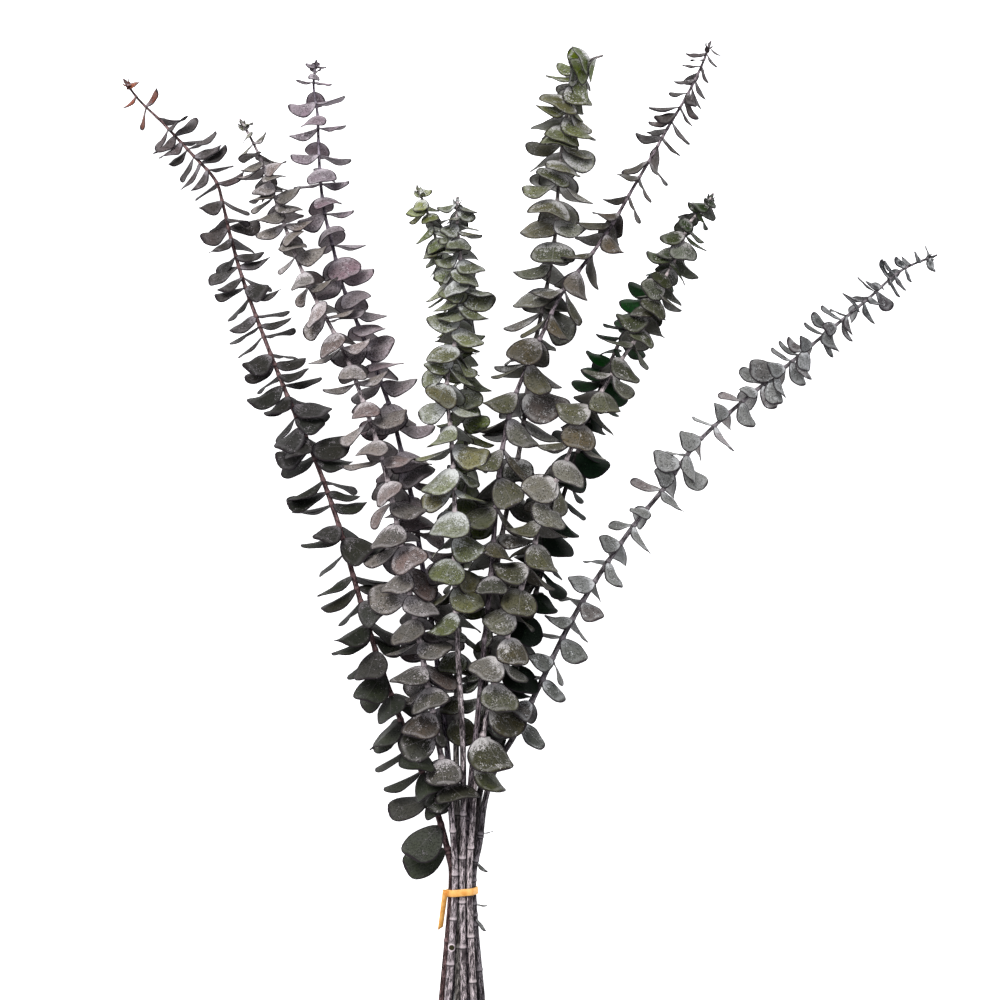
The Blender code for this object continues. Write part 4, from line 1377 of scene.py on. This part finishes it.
class EUCALYPTUS_OT_stage(bpy.types.Operator):
    """Set up the pale floor, the soft lights and the camera straight above"""

    bl_idname = "eucalyptus.stage"
    bl_label = "Set stage"

    def execute(self, context):
        settings = context.scene.eucalyptus_stage
        scene = context.scene
        bpy.ops.mesh.primitive_plane_add(size=settings.floor_size)
        floor = context.object
        floor.name = "floor"
        material, w, shader = new_material("floor_paper")
        place = w.add("ShaderNodeTexCoord").outputs["Object"]
        grain = w.noise(place, 300.0, 3.0)
        w.put(shader.inputs["Base Color"], w.mix(grain, *map(rgba, PAPER_COLOURS)))
        w.put(shader.inputs["Roughness"], 0.9)
        w.put(shader.inputs["Emission Color"], rgba((1.0, 1.0, 1.0)))
        seen = w.add("ShaderNodeLightPath").outputs["Is Camera Ray"]
        glow = w.plus(settings.glow, w.times(seen, settings.seen))
        w.put(shader.inputs["Emission Strength"], glow)
        floor.data.materials.append(material)
        middle = VIEW_MIDDLE + SHIFT
        camera = bpy.data.objects.new("camera", bpy.data.cameras.new("camera"))
        camera.data.sensor_width = SENSOR
        camera.data.lens = SENSOR * settings.height / settings.view_width
        camera.location = middle + Vector((0, 0, settings.height))
        scene.collection.objects.link(camera)
        scene.camera = camera
        self.light(scene, "key_light", *KEY_LIGHT, settings.key, middle)
        self.light(scene, "fill_light", *FILL_LIGHT, settings.fill, middle)
        world = bpy.data.worlds.new("studio")
        world.use_nodes = True
        backdrop = Wiring(world.node_tree)
        sky = world.node_tree.nodes["Background"].inputs
        backdrop.put(sky["Color"], rgba(SKY_COLOUR))
        seen = backdrop.add("ShaderNodeLightPath").outputs["Is Camera Ray"]
        strength = backdrop.plus(settings.sky, backdrop.times(seen, 1 - settings.sky))
        backdrop.put(sky["Strength"], strength)
        scene.world = world
        scene.view_settings.view_transform = "Standard"
        return {"FINISHED"}

    def light(self, scene, name, place, size, power, middle):
        """A square light that points at the middle of the view."""
        lamp = bpy.data.lights.new(name, "AREA")
        lamp.size = size
        lamp.energy = power
        light = bpy.data.objects.new(name, lamp)
        light.location = middle + place
        light.rotation_euler = (-place).to_track_quat("-Z", "Y").to_euler()
        scene.collection.objects.link(light)


class EUCALYPTUS_PT_panel(bpy.types.Panel):
    """Lists the bunch's pieces in the sidebar"""

    bl_idname = "EUCALYPTUS_PT_panel"
    bl_label = "Eucalyptus bunch"
    bl_space_type = "VIEW_3D"
    bl_region_type = "UI"
    bl_category = "Eucalyptus"

    def draw(self, context):
        scene = context.scene
        for operator, settings in (
            ("eucalyptus.stems", (scene.eucalyptus_blades, scene.eucalyptus_wood)),
            ("eucalyptus.band", (scene.eucalyptus_band,)),
            ("eucalyptus.stage", (scene.eucalyptus_stage,)),
        ):
            box = self.layout.box()
            box.operator(operator)
            for group in settings:
                for name in group.__annotations__:
                    box.prop(group, name)


CLASSES = (
    StemLooks, BladeSettings, WoodSettings, BandSettings, StageSettings,
    EUCALYPTUS_OT_stems, EUCALYPTUS_OT_band, EUCALYPTUS_OT_stage, EUCALYPTUS_PT_panel,
)


def register():
    for kind in CLASSES:
        bpy.utils.register_class(kind)
    bpy.types.Scene.eucalyptus_stems = CollectionProperty(type=StemLooks)
    bpy.types.Scene.eucalyptus_blades = PointerProperty(type=BladeSettings)
    bpy.types.Scene.eucalyptus_wood = PointerProperty(type=WoodSettings)
    bpy.types.Scene.eucalyptus_band = PointerProperty(type=BandSettings)
    bpy.types.Scene.eucalyptus_stage = PointerProperty(type=StageSettings)


def unregister():
    for name in ("stems", "blades", "wood", "band", "stage"):
        delattr(bpy.types.Scene, "eucalyptus_" + name)
    for kind in reversed(CLASSES):
        bpy.utils.unregister_class(kind)


def fill_looks(scene):
    """Puts each stem's own colours into the scene's settings."""
    for name, finish in FINISHES.items():
        looks = scene.eucalyptus_stems.add()
        looks.name = name
        for part in ("shoot", "tip", "middle", "low", "bloom", "wood", "pale_wood"):
            setattr(looks, part, linear(getattr(finish, part)))
        looks.tip_bloom, looks.low_bloom = finish.amount


def main():
    """Makes the whole scene."""
    register()
    fill_looks(bpy.context.scene)
    bpy.ops.eucalyptus.stage()
    bpy.ops.eucalyptus.stems()
    bpy.ops.eucalyptus.band()
    bpy.context.view_layer.update()


if __name__ == "__main__":
    main()
